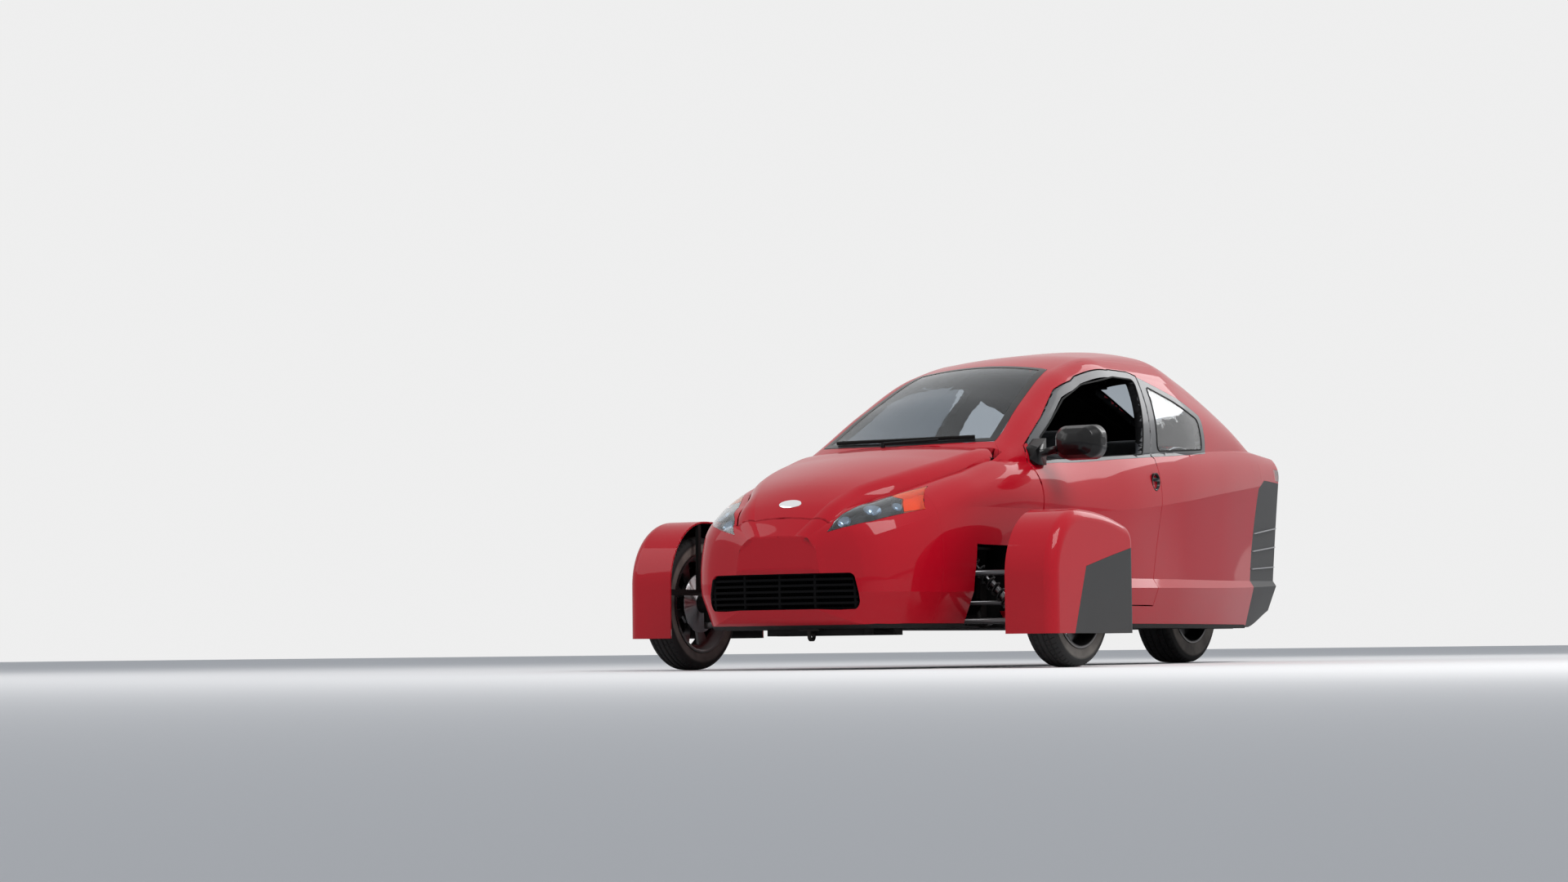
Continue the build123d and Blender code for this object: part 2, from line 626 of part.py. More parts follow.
def make_tow_bracket():
    """An eye on a foot plate, bolted under the floor behind the nose."""
    top, centre = SILL_Z - PIN_GAP, SILL_Z - EYE_DROP
    foot_width, foot_thick = EYE_FOOT
    eye = rod((-EYE_THICK / 2, EYE_S, centre), (EYE_THICK / 2, EYE_S, centre), EYE_RADIUS)
    eye += block(-EYE_THICK / 2, EYE_THICK / 2, EYE_S - EYE_RADIUS, EYE_S + EYE_RADIUS, centre, top - foot_thick)
    eye += block(-foot_width / 2, foot_width / 2, EYE_S - EYE_RADIUS, EYE_S + EYE_RADIUS, top - foot_thick, top)
    parts["tow_bracket"] = eye - rod((-EYE_THICK, EYE_S, centre), (EYE_THICK, EYE_S, centre), EYE_HOLE)


ENGINE_SIZE = (430, 360, 380)


def make_engine():
    width, length, height = ENGINE_SIZE
    low = FLOOR_TOP + PIN_GAP + SUBFRAME_RAIL + PIN_GAP
    engine = block(-width / 2, width / 2, ENGINE_FRONT, ENGINE_FRONT + length, low, low + height)
    parts["engine_block"] = chamfer(engine.edges(), 20)


# Front suspension and steering
def arm(inner_x, z):
    """A wishbone from two inner bushes to one eye on the kingpin's axis."""
    shape = Part()
    for s in ARM_PIVOTS:
        shape += rod((inner_x, s, z), (KINGPIN_X, 0, z), ARM_ROD)
        shape += rod((inner_x, s - 18, z), (inner_x, s + 18, z), ARM_ROD + 5)
    shape += rod((KINGPIN_X, 0, z - ARM_EYE_HEIGHT / 2), (KINGPIN_X, 0, z + ARM_EYE_HEIGHT / 2), ARM_EYE)
    return shape


COILOVER_LOW = (640, 0, 212)
COILOVER_HIGH = (432, 0, 432)
SHELF_Z = 458
SPRING_RADIUS = 27
SPRING_CORE = 17
SPRING_COILS = 6


def coilover():
    """A damper with its spring, which is drawn as a row of rings on the damper."""
    low = Vector(COILOVER_LOW[0], along(COILOVER_LOW[1]), COILOVER_LOW[2])
    high = Vector(COILOVER_HIGH[0], along(COILOVER_HIGH[1]), COILOVER_HIGH[2])
    length = (high - low).length
    start, stop = 0.16 * length, 0.86 * length
    pitch = (stop - start) / SPRING_COILS
    side = [(0, 0), (12, 0), (12, start), (SPRING_RADIUS, start)]
    for k in range(SPRING_COILS):
        side += [(SPRING_RADIUS, start + (k + 0.45) * pitch), (SPRING_CORE, start + (k + 0.75) * pitch),
                 (SPRING_RADIUS, start + (k + 1) * pitch)]
    side += [(SPRING_RADIUS, stop + 8), (20, stop + 8), (20, length), (0, length)]
    body = revolve(Plane.XZ * make_face(Polyline(*side, close=True)), Axis.Z)
    return Plane(low, z_dir=high - low) * body


RACK_END = 300
ROD_END = 14
ROD_END_HALF = 11


def make_suspension():
    lower = arm(ARM_PIVOT_X, ARM_LOW_Z) + block(
        COILOVER_LOW[0] - 14, COILOVER_LOW[0] + 14, -32, 60, ARM_LOW_Z - 4, ARM_LOW_Z + 16)
    parts["wishbones"] = both(lower) + both(arm(ARM_PIVOT_X, ARM_HIGH_Z))
    clear = block(0, 700, -60, 60, 0, ARM_LOW_Z + 16 + PIN_GAP)
    top_pin = rod(COILOVER_HIGH, (COILOVER_HIGH[0], 0, SHELF_Z - PIN_GAP), 8)
    parts["coilovers"] = both(coilover() + top_pin - clear)
    housing = rod((-RACK_END, RACK_S, RACK_Z), (RACK_END, RACK_S, RACK_Z), 24)
    bore = rod((-RACK_END - 1, RACK_S, RACK_Z), (RACK_END + 1, RACK_S, RACK_Z), RACK_RADIUS + PIN_GAP)
    for x in (-200, 200):
        housing += block(x - 20, x + 20, RACK_S - 18, RACK_S + 96, FLOOR_TOP + SUBFRAME_RAIL + SEAM, RACK_Z - 17)
    parts["rack_housing"] = housing - bore
    bar = rod((-STEER_ARM_X, RACK_S, RACK_Z), (STEER_ARM_X, RACK_S, RACK_Z), RACK_RADIUS - 3)
    bar += rod((-RACK_END - 60, RACK_S, RACK_Z), (RACK_END + 60, RACK_S, RACK_Z), RACK_RADIUS)
    for x in (-STEER_ARM_X, STEER_ARM_X):
        bar += rod((x, RACK_S, RACK_Z - ROD_END_HALF), (x, RACK_S, RACK_Z + ROD_END_HALF), ROD_END)
    parts["tie_rods"] = bar


WHEEL_X = FRONT_TRACK / 2
BEARING_RADIUS = 40
BEARING_X = 750
STUB_RADIUS = 15
DISC_X = 803
DISC_THICK = 8
DISC_RADIUS = 118
STAY = 14
STAY_Z = 312
STAY_FOOT = 80
STAY_DROP = 6.5


def knuckle():
    """The left upright with its bearing, steering arm, caliper and the stay that holds the pod."""
    z = TYRE_RADIUS
    low = ARM_LOW_Z + ARM_EYE_HEIGHT / 2 + PIN_GAP
    high = ARM_HIGH_Z - ARM_EYE_HEIGHT / 2 - PIN_GAP
    shape = rod((KINGPIN_X, 0, low), (KINGPIN_X, 0, high), ARM_EYE)
    shape += rod((BEARING_X, 0, z), (DISC_X - SHUT_GAP, 0, z), BEARING_RADIUS)
    arm_top = RACK_Z - ROD_END_HALF - SEAM
    shape += block(STEER_ARM_X - 13, KINGPIN_X, 0, RACK_S, arm_top - 16, arm_top)
    shape += rod((STEER_ARM_X, RACK_S, arm_top - 16), (STEER_ARM_X, RACK_S, arm_top), ROD_END)
    stay_low, stay_high = POD_INNER_X + 2, POD_INNER_X + 2 + STAY
    shape += block(stay_low, stay_high, POD_FRONT + POD_WALL, POD_REAR - POD_WALL, STAY_Z - 12, STAY_Z + 12)
    top = POD_TOP_Z - POD_WALL
    for s in (-STAY_FOOT, STAY_FOOT):
        shape += block(stay_low, stay_high, s - 10, s + 10, STAY_Z, top - STAY_DROP)
    caliper = block(DISC_X - 16, DISC_X + DISC_THICK + 14, 84, DISC_RADIUS + 14, z - 40, z + 40)
    slot = block(DISC_X - 5, DISC_X + DISC_THICK + 5, 60, DISC_RADIUS + 5, z - 50, z + 50)
    shape += (caliper - slot) + block(KINGPIN_X + 6, DISC_X - 10, 20, 96, z - 18, z + 18)
    return shape - rod((740, 0, z), (DISC_X, 0, z), STUB_RADIUS + PIN_GAP)


def pod_side(grow, bottom):
    """The pod's outline in side view: a quarter circle at the front, a long arc, and a small round behind."""
    front, rear, top = along(POD_FRONT) + grow, along(POD_REAR) - grow, POD_TOP_Z - grow
    front_radius = 260 - grow
    crown_y = front + front_radius
    fall = math.radians(15)
    reach = 380
    crown_radius = reach / math.sin(fall)
    shoulder = (crown_y + reach, top - crown_radius * (1 - math.cos(fall)))
    rear_radius = (rear - shoulder[0]) / (1 - math.sin(fall))
    centre = (rear - rear_radius, shoulder[1] - rear_radius * math.cos(fall))
    half = fall / 2
    turn = math.radians(37.5)
    crown_middle = (crown_y + crown_radius * math.sin(half), top - crown_radius * (1 - math.cos(half)))
    rear_middle = (centre[0] + rear_radius * math.cos(turn), centre[1] + rear_radius * math.sin(turn))
    corner = math.radians(45)
    front_middle = (crown_y - front_radius * math.cos(corner), top - front_radius * (1 - math.sin(corner)))
    edges = [
        Edge.make_line((front, bottom), (front, top - front_radius)),
        Edge.make_three_point_arc((front, top - front_radius), front_middle, (crown_y, top)),
        Edge.make_three_point_arc((crown_y, top), crown_middle, shoulder),
        Edge.make_three_point_arc(shoulder, rear_middle, (rear, centre[1])),
        Edge.make_line((rear, centre[1]), (rear, bottom)),
        Edge.make_line((rear, bottom), (front, bottom)),
    ]
    return Face(Wire(edges))


POD_INSERT = [(POD_REAR + 30, 470), (200, 428), (-30, 381), (-141, 100), (POD_REAR + 30, 100)]
POD_INSERT_X = 905


def pod_block(grow, x_low, x_high, bottom, edge):
    solid = extrude(Plane.YZ.offset(x_low) * pod_side(grow, bottom), x_high - x_low, dir=(1, 0, 0))
    outer = [e for e in solid.faces().sort_by(Axis.X)[-1].edges() if e.center().Z > bottom + 1]
    return fillet(outer, edge)


def pod():
    """A hollow pod, open below and towards the body."""
    outer = pod_block(0, POD_INNER_X, POD_OUTER_X, POD_BOTTOM_Z, POD_EDGE)
    inner = pod_block(POD_WALL, POD_INNER_X - 10, POD_OUTER_X - POD_WALL, POD_BOTTOM_Z - 60, POD_EDGE - POD_WALL)
    return outer - inner


def make_pods():
    whole = pod()
    insert_cut_low = cut_across(POD_INSERT, POD_INSERT_X, POD_OUTER_X + 20)
    insert = whole & insert_cut_low
    cover = whole - cut_across(POD_INSERT, POD_INSERT_X - SEAM, POD_OUTER_X + 20, grow=SEAM)
    for name, change in (("left", lambda shape: shape), ("right", mirrored)):
        parts[f"pod_{name}"] = change(largest(cover))
        parts[f"pod_insert_{name}"] = change(largest(insert))
        parts[f"knuckle_{name}"] = change(knuckle())


# Wheels, drawn about the X axis at the origin and then set in place
def turned(points):
    """A solid turned about the X axis from an outline of (x, radius)."""
    face = make_face(Polyline(*points, close=True))
    return revolve(face, Axis.X)


def tyre(radius, width):
    """The tyre bulges most a little above the middle of its side wall."""
    half = width / 2
    widest = (radius + FLANGE_RADIUS) / 2 + 8
    return turned(mirrored_points([(half - FLANGE - 3, BEAD_RADIUS), (half, widest), (half - 16, radius)]))


def rim(width, disc_x, disc_thick, bore):
    """A wheel rim with eight windows in its disc."""
    half = width / 2
    seat = half - 2
    barrel = turned([(-seat, BEAD_RADIUS - RIM_WALL), (-seat, FLANGE_RADIUS), (-seat + FLANGE, FLANGE_RADIUS),
                     (-seat + FLANGE, BEAD_RADIUS - PIN_GAP), (seat - FLANGE, BEAD_RADIUS - PIN_GAP),
                     (seat - FLANGE, FLANGE_RADIUS), (seat, FLANGE_RADIUS), (seat, BEAD_RADIUS - RIM_WALL)])
    disc = turned([(disc_x, bore), (disc_x, BEAD_RADIUS - 2), (disc_x + disc_thick, BEAD_RADIUS - 2),
                   (disc_x + disc_thick, bore)])
    window = Polygon((-22, 92), (22, 92), (38, 168), (-38, 168), align=None)
    cut = extrude(Plane.YZ.offset(disc_x - 5) * window, disc_thick + 10)
    for k in range(8):
        disc -= Rot(45 * k, 0, 0) * cut
    return barrel + disc


HUB_FACE_X = 838


def make_wheels():
    centre = Pos(WHEEL_X, along(0), TYRE_RADIUS)
    disc_side = DISC_X - WHEEL_X
    face = HUB_FACE_X - WHEEL_X
    hub = turned([(748 - WHEEL_X, 0), (748 - WHEEL_X, STUB_RADIUS), (disc_side, STUB_RADIUS),
                  (disc_side, DISC_RADIUS), (disc_side + DISC_THICK, DISC_RADIUS), (disc_side + DISC_THICK, 62),
                  (face, 62), (face, 24.7), (face + 16, 24.7), (face + 16, 0)])
    front_rim = rim(TYRE_WIDTH, face, 12, 25)
    front_tyre = tyre(TYRE_RADIUS, TYRE_WIDTH)
    for name, change in (("left", lambda shape: shape), ("right", mirrored)):
        parts[f"hub_{name}"] = change(centre * hub)
        parts[f"rim_{name}"] = change(centre * front_rim)
        parts[f"tyre_{name}"] = change(centre * front_tyre)
    rear = Pos(0, along(WHEELBASE), REAR_TYRE_RADIUS)
    parts["rear_hub"] = rear * turned([(-80, AXLE_RADIUS + PIN_GAP), (-80, 30), (-8, 30), (-8, 60), (-6, 60),
                                       (-6, 34.7), (6, 34.7), (6, 30), (80, 30), (80, AXLE_RADIUS + PIN_GAP)])
    parts["rear_rim"] = rear * rim(REAR_TYRE_WIDTH, -6, 12, 35)
    parts["rear_tyre"] = rear * tyre(REAR_TYRE_RADIUS, REAR_TYRE_WIDTH)


AXLE_RADIUS = 12
SWING_PIVOT_S = WHEELBASE - WHEELHOUSE_RADIUS + 20
SWING_X = 107
SHOCK_TOP = (SWING_X, WHEELBASE - 10, REAR_TYRE_RADIUS + WHEELHOUSE_RADIUS - 26)
SHOCK_LOW = (SWING_X, WHEELBASE + 40, REAR_TYRE_RADIUS + 22)


def make_rear():
    """The swing arm between the wheelhouse walls, its axle and two dampers beside the tyre."""
    z = REAR_TYRE_RADIUS
    half = WHEELHOUSE_WIDTH / 2
    swing = rod((-half, SWING_PIVOT_S, z), (half, SWING_PIVOT_S, z), 14)
    for side in (-1, 1):
        x = side * SWING_X
        swing += block(x - 8, x + 8, SWING_PIVOT_S, WHEELBASE + 55, z - 20, z + 20)
    swing += rod((-SWING_X, WHEELBASE, z), (SWING_X, WHEELBASE, z), AXLE_RADIUS)
    parts["swing_arm"] = swing
    shock = rod(SHOCK_LOW, SHOCK_TOP, 11)
    low, top = Vector(*SHOCK_LOW), Vector(*SHOCK_TOP)
    lower, upper = low + (top - low) * 0.3, low + (top - low) * 0.85
    shock += rod(tuple(lower), tuple(upper), 15)
    shock += rod((SWING_X - 11, SHOCK_TOP[1], SHOCK_TOP[2]), (half - PIN_GAP, SHOCK_TOP[1], SHOCK_TOP[2]), 14)
    parts["rear_dampers"] = both(shock - block(0, 200, 2500, 3000, 0, z + 20 + PIN_GAP))


# Cabin
SEAT_PROFILE = [(0, 0), (0, 215), (60, 235), (420, 190), (455, 225), (585, 700), (575, 830), (640, 845),
                (690, 700), (560, 130), (520, 0)]
SEAT_WIDTH = 420
SEAT_FRONTS = (850, 1690)


def make_seats():
    seats = Part()
    for start in SEAT_FRONTS:
        placed = [(start + s, FLOOR_TOP + SEAM + z) for s, z in SEAT_PROFILE]
        seats += cut_across(placed, -SEAT_WIDTH / 2, SEAT_WIDTH / 2, corner=18)
    parts["seats"] = seats


DASH_PROFILE = [(285, 560), (285, 800), (420, 840), (560, 790), (590, 700), (555, 600)]
STEER_CENTRE = (0, 712, 706)
STEER_TILT = 22
STEER_RADIUS = 170


def make_dashboard():
    dash = cut_across(DASH_PROFILE, -360, 360, corner=20)
    beam = rod((-600, 312, 604), (600, 312, 604), 16) & cabin
    back = (0, STEER_CENTRE[1] - 260 * math.cos(math.radians(STEER_TILT)),
            STEER_CENTRE[2] - 260 * math.sin(math.radians(STEER_TILT)))
    front = (0, STEER_CENTRE[1] - 31 * math.cos(math.radians(STEER_TILT)),
             STEER_CENTRE[2] - 31 * math.sin(math.radians(STEER_TILT)))
    column = rod(back, front, 26)
    parts["dashboard"] = dash + beam + column
    place = Plane((0, along(STEER_CENTRE[1]), STEER_CENTRE[2]),
                  z_dir=(0, math.cos(math.radians(STEER_TILT)), math.sin(math.radians(STEER_TILT))))
    wheel = revolve(Plane.XZ * Pos(STEER_RADIUS, 0) * RegularPolygon(13, 8), Axis.Z)
    wheel += Pos(0, 0, -15) * Cylinder(36, 30)
    for k in range(3):
        wheel += Rot(0, 0, 120 * k + 90) * Pos(STEER_RADIUS / 2, 0, -8) * Box(STEER_RADIUS, 26, 10)
    parts["steering_wheel"] = place * wheel


# Door fittings
MIRROR_CENTRE = (700, 432, 884)
SAIL_X = 536


def make_door_fittings():
    x, s, z = MIRROR_CENTRE
    rings = []
    for ds, width, height, corner in ((-52, 90, 60, 28), (-34, 160, 104, 42), (-4, 198, 130, 50), (44, 206, 138, 52)):
        plane = Plane((x, along(s + ds), z), x_dir=(1, 0, 0), z_dir=(0, 1, 0))
        rings.append(plane * RectangleRounded(width, height, corner))
    housing = loft(rings, ruled=True)
    arm_bar = rod((x - 70, s, z - 20), (520, s, z - 42), 15)
    sail_points = [(s - 28, z - 84), (s - 28, z - 16), (s + 42, z + 24), (s + 42, z - 84)]
    sail = cut_across(sail_points, 430, SAIL_X)
    parts["mirror"] = largest(housing + ((arm_bar + sail) - (lower_outer + cab_outer)))
    face = HANDLE_FACE_X - HANDLE_DEPTH
    bezel = rod((face, HANDLE_S, HANDLE_Z), (HANDLE_FACE_X - 2, HANDLE_S, HANDLE_Z), HANDLE_RADIUS - SEAM)
    bezel -= rod((face + 5, HANDLE_S, HANDLE_Z), (620, HANDLE_S, HANDLE_Z), HANDLE_RADIUS - 5)
    paddle = block(face, HANDLE_FACE_X - 2, HANDLE_S - 32, HANDLE_S + 32, HANDLE_Z + 2, HANDLE_Z + 16)
    parts["door_handle"] = bezel + paddle


WIPER_X = -40
WIPER_S = 172


def wiper_spindle(gap):
    return rod((WIPER_X, WIPER_S, 840 - gap), (WIPER_X, WIPER_S, 900), 9 + gap)


def make_wiper():
    """One wiper, parked along the foot of the screen, with its spindle through the cowl."""
    arm_bar = rod((WIPER_X, WIPER_S, 896), (190, 214, 905), 5)
    parts["wiper"] = wiper_spindle(0) + arm_bar


make_panels()
make_grille()
make_floor()
make_subframe()
make_tow_bracket()
make_engine()
make_suspension()
make_pods()
make_wheels()
make_rear()
make_seats()
make_dashboard()
make_door_fittings()
make_wiper()

os.makedirs("parts", exist_ok=True)
for name, shape in parts.items():
    export_step(shape, f"parts/{name}.step")
print(len(parts), "pieces")
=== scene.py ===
import bpy, bmesh, json, math
import numpy as np
from mathutils import Matrix, Vector


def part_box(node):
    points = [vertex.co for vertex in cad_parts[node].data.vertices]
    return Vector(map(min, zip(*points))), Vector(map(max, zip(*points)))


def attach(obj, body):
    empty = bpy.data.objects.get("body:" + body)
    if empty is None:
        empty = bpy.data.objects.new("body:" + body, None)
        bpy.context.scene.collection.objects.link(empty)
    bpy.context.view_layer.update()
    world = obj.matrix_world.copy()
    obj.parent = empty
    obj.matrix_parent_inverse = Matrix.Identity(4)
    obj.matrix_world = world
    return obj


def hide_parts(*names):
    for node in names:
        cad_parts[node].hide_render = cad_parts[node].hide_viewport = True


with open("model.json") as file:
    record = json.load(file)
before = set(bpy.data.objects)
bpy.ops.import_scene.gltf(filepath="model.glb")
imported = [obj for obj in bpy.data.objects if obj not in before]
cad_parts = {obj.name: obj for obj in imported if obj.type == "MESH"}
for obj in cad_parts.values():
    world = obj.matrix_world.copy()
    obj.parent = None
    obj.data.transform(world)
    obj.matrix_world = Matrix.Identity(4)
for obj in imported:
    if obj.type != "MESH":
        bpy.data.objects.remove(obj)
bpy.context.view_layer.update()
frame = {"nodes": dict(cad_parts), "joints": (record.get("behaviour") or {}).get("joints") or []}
nodes = frame["nodes"]
print("stage: frame loaded,", len(nodes), "nodes")

frontAxleY = -1.3385  # a station, s, is a distance behind the front axle
wheelbase = 2.794

camera = {
    "place": (6.705, -12.8165, 0.071),
    "forward": (-0.5252, 0.8487, 0.0623),
    "up": (0.0422, -0.0471, 0.998),
    "sensor": 36.0,
    "lens": 77.47,
    "reach": 200,
}


def makeCamera():
    data = bpy.data.cameras.new("camera")
    data.sensor_width, data.lens, data.clip_end = camera["sensor"], camera["lens"], camera["reach"]
    obj = bpy.data.objects.new("camera", data)
    bpy.context.collection.objects.link(obj)
    forward = Vector(camera["forward"]).normalized()
    right = forward.cross(Vector(camera["up"])).normalized()
    up = right.cross(forward)
    rows = [[right[k], up[k], -forward[k], camera["place"][k]] for k in range(3)]
    obj.matrix_world = Matrix(rows + [[0, 0, 0, 1]])
    bpy.context.scene.camera = obj


makeCamera()
bpy.context.scene.view_settings.view_transform = "Standard"


# Shader building blocks
def newMaterial(name):
    material = bpy.data.materials.new(name)
    material.use_nodes = True
    tree = material.node_tree
    tree.nodes.clear()
    out = tree.nodes.new("ShaderNodeOutputMaterial")
    shader = tree.nodes.new("ShaderNodeBsdfPrincipled")
    tree.links.new(shader.outputs[0], out.inputs[0])
    return material, tree, shader


def newGroup(name, inputs, outputs):
    group = bpy.data.node_groups.new(name, "ShaderNodeTree")
    for label, kind, value in inputs:
        socket = group.interface.new_socket(label, in_out="INPUT", socket_type=kind)
        socket.default_value = value
    for label, kind in outputs:
        group.interface.new_socket(label, in_out="OUTPUT", socket_type=kind)
    return group, group.nodes.new("NodeGroupInput"), group.nodes.new("NodeGroupOutput")


def feed(tree, value, socket):  # a socket's value is linked, any other is set
    if hasattr(value, "is_linked"):
        tree.links.new(value, socket)
    else:
        socket.default_value = value


def objectPlace(tree):
    return tree.nodes.new("ShaderNodeTexCoord").outputs["Object"]


def noiseNode(tree, scale, detail=3.0, rough=0.5):
    noise = tree.nodes.new("ShaderNodeTexNoise")
    noise.inputs["Scale"].default_value = scale
    noise.inputs["Detail"].default_value = detail
    noise.inputs["Roughness"].default_value = rough
    tree.links.new(objectPlace(tree), noise.inputs["Vector"])
    return noise.outputs["Fac"]


def mathNode(tree, operation, a, b=None):
    node = tree.nodes.new("ShaderNodeMath")
    node.operation = operation
    feed(tree, a, node.inputs[0])
    if b is not None:
        feed(tree, b, node.inputs[1])
    return node.outputs[0]


def mixColours(tree, one, other, share):  # one x (1 - share) + other x share
    mix = tree.nodes.new("ShaderNodeMix")
    mix.data_type = "RGBA"
    feed(tree, one, mix.inputs["A"])
    feed(tree, other, mix.inputs["B"])
    tree.links.new(share, mix.inputs["Factor"])
    return mix.outputs["Result"]


def between(tree, share, low, high):  # low + (high - low) x share
    spread = tree.nodes.new("ShaderNodeMapRange")
    spread.inputs["To Min"].default_value = low
    spread.inputs["To Max"].default_value = high
    tree.links.new(share, spread.inputs["Value"])
    return spread.outputs["Result"]


grainLook = {"scale": 900.0, "fineScale": 1500, "fineDetail": 2}
dustLook = {"reach": 0.5, "amount": 0.5, "scale": 14, "detail": 6, "rough": 0.65, "cloudScale": 3.0}


def makeGrainGroup():  # moulded grain: distance to the nearest cell + fine noise, as a height for a bump
    group, given, made = newGroup("mouldedGrain", [("Scale", "NodeSocketFloat", grainLook["scale"])],
                                  [("Height", "NodeSocketFloat")])
    cells = group.nodes.new("ShaderNodeTexVoronoi")
    group.links.new(objectPlace(group), cells.inputs["Vector"])
    group.links.new(given.outputs["Scale"], cells.inputs["Scale"])
    fine = noiseNode(group, grainLook["fineScale"], grainLook["fineDetail"])
    group.links.new(mathNode(group, "ADD", cells.outputs["Distance"], fine), made.inputs["Height"])
    return group


def makeDustGroup():  # road dust: (1 - height / reach) x noise x amount, so more of it low down
    group, given, made = newGroup("roadDust", [("Reach", "NodeSocketFloat", dustLook["reach"]),
                                               ("Amount", "NodeSocketFloat", dustLook["amount"])],
                                  [("Mask", "NodeSocketFloat")])
    split = group.nodes.new("ShaderNodeSeparateXYZ")
    group.links.new(objectPlace(group), split.inputs[0])
    noise = noiseNode(group, dustLook["scale"], dustLook["detail"], dustLook["rough"])
    low = mathNode(group, "SUBTRACT", 1.0,
                   mathNode(group, "DIVIDE", split.outputs["Z"], given.outputs["Reach"]))
    low.node.use_clamp = True
    mask = mathNode(group, "MULTIPLY", mathNode(group, "MULTIPLY", low, noise), given.outputs["Amount"])
    group.links.new(mask, made.inputs["Mask"])
    return group


grainGroup, dustGroup = makeGrainGroup(), makeDustGroup()


def placeGroup(tree, group, **values):
    node = tree.nodes.new("ShaderNodeGroup")
    node.node_tree = group
    for name, value in values.items():
        node.inputs[name].default_value = value
    return node.outputs[0]


# Colour and roughness: the clean one x (1 - mask) + the dust's x mask, with noise clouding the clean colour
def dustedColour(tree, shader, colour, rough, look):
    mask = placeGroup(tree, dustGroup, Reach=look["dustReach"], Amount=look["dustAmount"])
    dark = (*[c * (1 - look["clouds"]) for c in colour], 1)
    light = (*[min(1, c * (1 + look["clouds"])) for c in colour], 1)
    clean = mixColours(tree, dark, light, noiseNode(tree, dustLook["cloudScale"]))
    tree.links.new(mixColours(tree, clean, (*look["dust"], 1), mask), shader.inputs["Base Color"])
    tree.links.new(between(tree, mask, rough, look["dustRough"]), shader.inputs["Roughness"])


def addBump(tree, shader, height, strength, distance):
    bump = tree.nodes.new("ShaderNodeBump")
    bump.inputs["Strength"].default_value = strength
    bump.inputs["Distance"].default_value = distance
    tree.links.new(height, bump.inputs["Height"])
    tree.links.new(bump.outputs["Normal"], shader.inputs["Normal"])


paint = {
    "colour": (0.40, 0.0025, 0.012),
    "rough": 0.42,
    "dust": (0.16, 0.07, 0.055),
    "dustReach": 0.40,
    "dustAmount": 0.12,
    "dustRough": 0.6,
    "clouds": 0.05,
    "coat": 0.50,
    "coatRough": 0.035,
    "coatIor": 1.42,
    "gloss": 0.04,
    "peelScale": 220,
    "peelBump": (0.03, 0.0004),
}


def makePaint():
    material, tree, shader = newMaterial("redPaint")
    dustedColour(tree, shader, paint["colour"], paint["rough"], paint)
    shader.inputs["Coat Weight"].default_value = paint["coat"]
    shader.inputs["Coat Roughness"].default_value = paint["coatRough"]
    shader.inputs["Coat IOR"].default_value = paint["coatIor"]
    shader.inputs["Specular IOR Level"].default_value = paint["gloss"]
    addBump(tree, shader, noiseNode(tree, paint["peelScale"], 1), *paint["peelBump"])  # a faint orange peel
    return material


plasticLook = {"dust": (0.10, 0.085, 0.075), "dustReach": 0.45, "dustRough": 0.9, "clouds": 0.08,
               "bump": 0.0005}


def makePlastic(name, colour, rough, grain, grainScale, coat=0.0, dustAmount=0.3, gloss=0.3):
    material, tree, shader = newMaterial(name)
    dustedColour(tree, shader, colour, rough, {**plasticLook, "dustAmount": dustAmount})
    shader.inputs["Coat Weight"].default_value = coat
    shader.inputs["Specular IOR Level"].default_value = gloss
    addBump(tree, shader, placeGroup(tree, grainGroup, Scale=grainScale), grain, plasticLook["bump"])
    return material


metalLook = {"dust": (0.14, 0.11, 0.09), "dustReach": 0.4, "dustAmount": 0.35, "dustRough": 0.8, "clouds": 0.06,
             "grainScale": 260, "grainDetail": 4, "bump": 0.0004}


def makeMetal(name, colour, rough, brushed=0.1):
    material, tree, shader = newMaterial(name)
    shader.inputs["Metallic"].default_value = 1.0
    dustedColour(tree, shader, colour, rough, metalLook)
    grain = noiseNode(tree, metalLook["grainScale"], metalLook["grainDetail"])
    addBump(tree, shader, grain, brushed, metalLook["bump"])
    return material


glassFilm = {"scale": 9, "detail": 5, "rough": 0.01}


def makeGlass(name, colour, rough=0.0, ior=1.45):
    material, tree, shader = newMaterial(name)
    shader.inputs["Base Color"].default_value = (*colour, 1)
    shader.inputs["Transmission Weight"].default_value = 1.0
    shader.inputs["IOR"].default_value = ior
    film = noiseNode(tree, glassFilm["scale"], glassFilm["detail"])
    tree.links.new(between(tree, film, rough, rough + glassFilm["rough"]), shader.inputs["Roughness"])
    return material


cloth = {"threads": 2600.0, "dark": 0.7, "light": 1.35, "fuzzScale": 60, "fuzzDetail": 4, "rough": 0.95,
         "sheen": 0.3, "bump": (0.35, 0.0004)}


def makeFabric(name, colour):  # the weave is sine(threads x) x sine(threads (y + z))
    material, tree, shader = newMaterial(name)
    split = tree.nodes.new("ShaderNodeSeparateXYZ")
    tree.links.new(objectPlace(tree), split.inputs[0])
    along = mathNode(tree, "ADD", split.outputs["Y"], split.outputs["Z"])
    waves = [mathNode(tree, "SINE", mathNode(tree, "MULTIPLY", way, cloth["threads"]))
             for way in (split.outputs["X"], along)]
    dark, light = ((*[c * cloth[word] for c in colour], 1) for word in ("dark", "light"))
    fuzz = noiseNode(tree, cloth["fuzzScale"], cloth["fuzzDetail"])
    tree.links.new(mixColours(tree, dark, light, fuzz), shader.inputs["Base Color"])
    shader.inputs["Roughness"].default_value = cloth["rough"]
    shader.inputs["Sheen Weight"].default_value = cloth["sheen"]
    addBump(tree, shader, mathNode(tree, "MULTIPLY", *waves), *cloth["bump"])
    return material


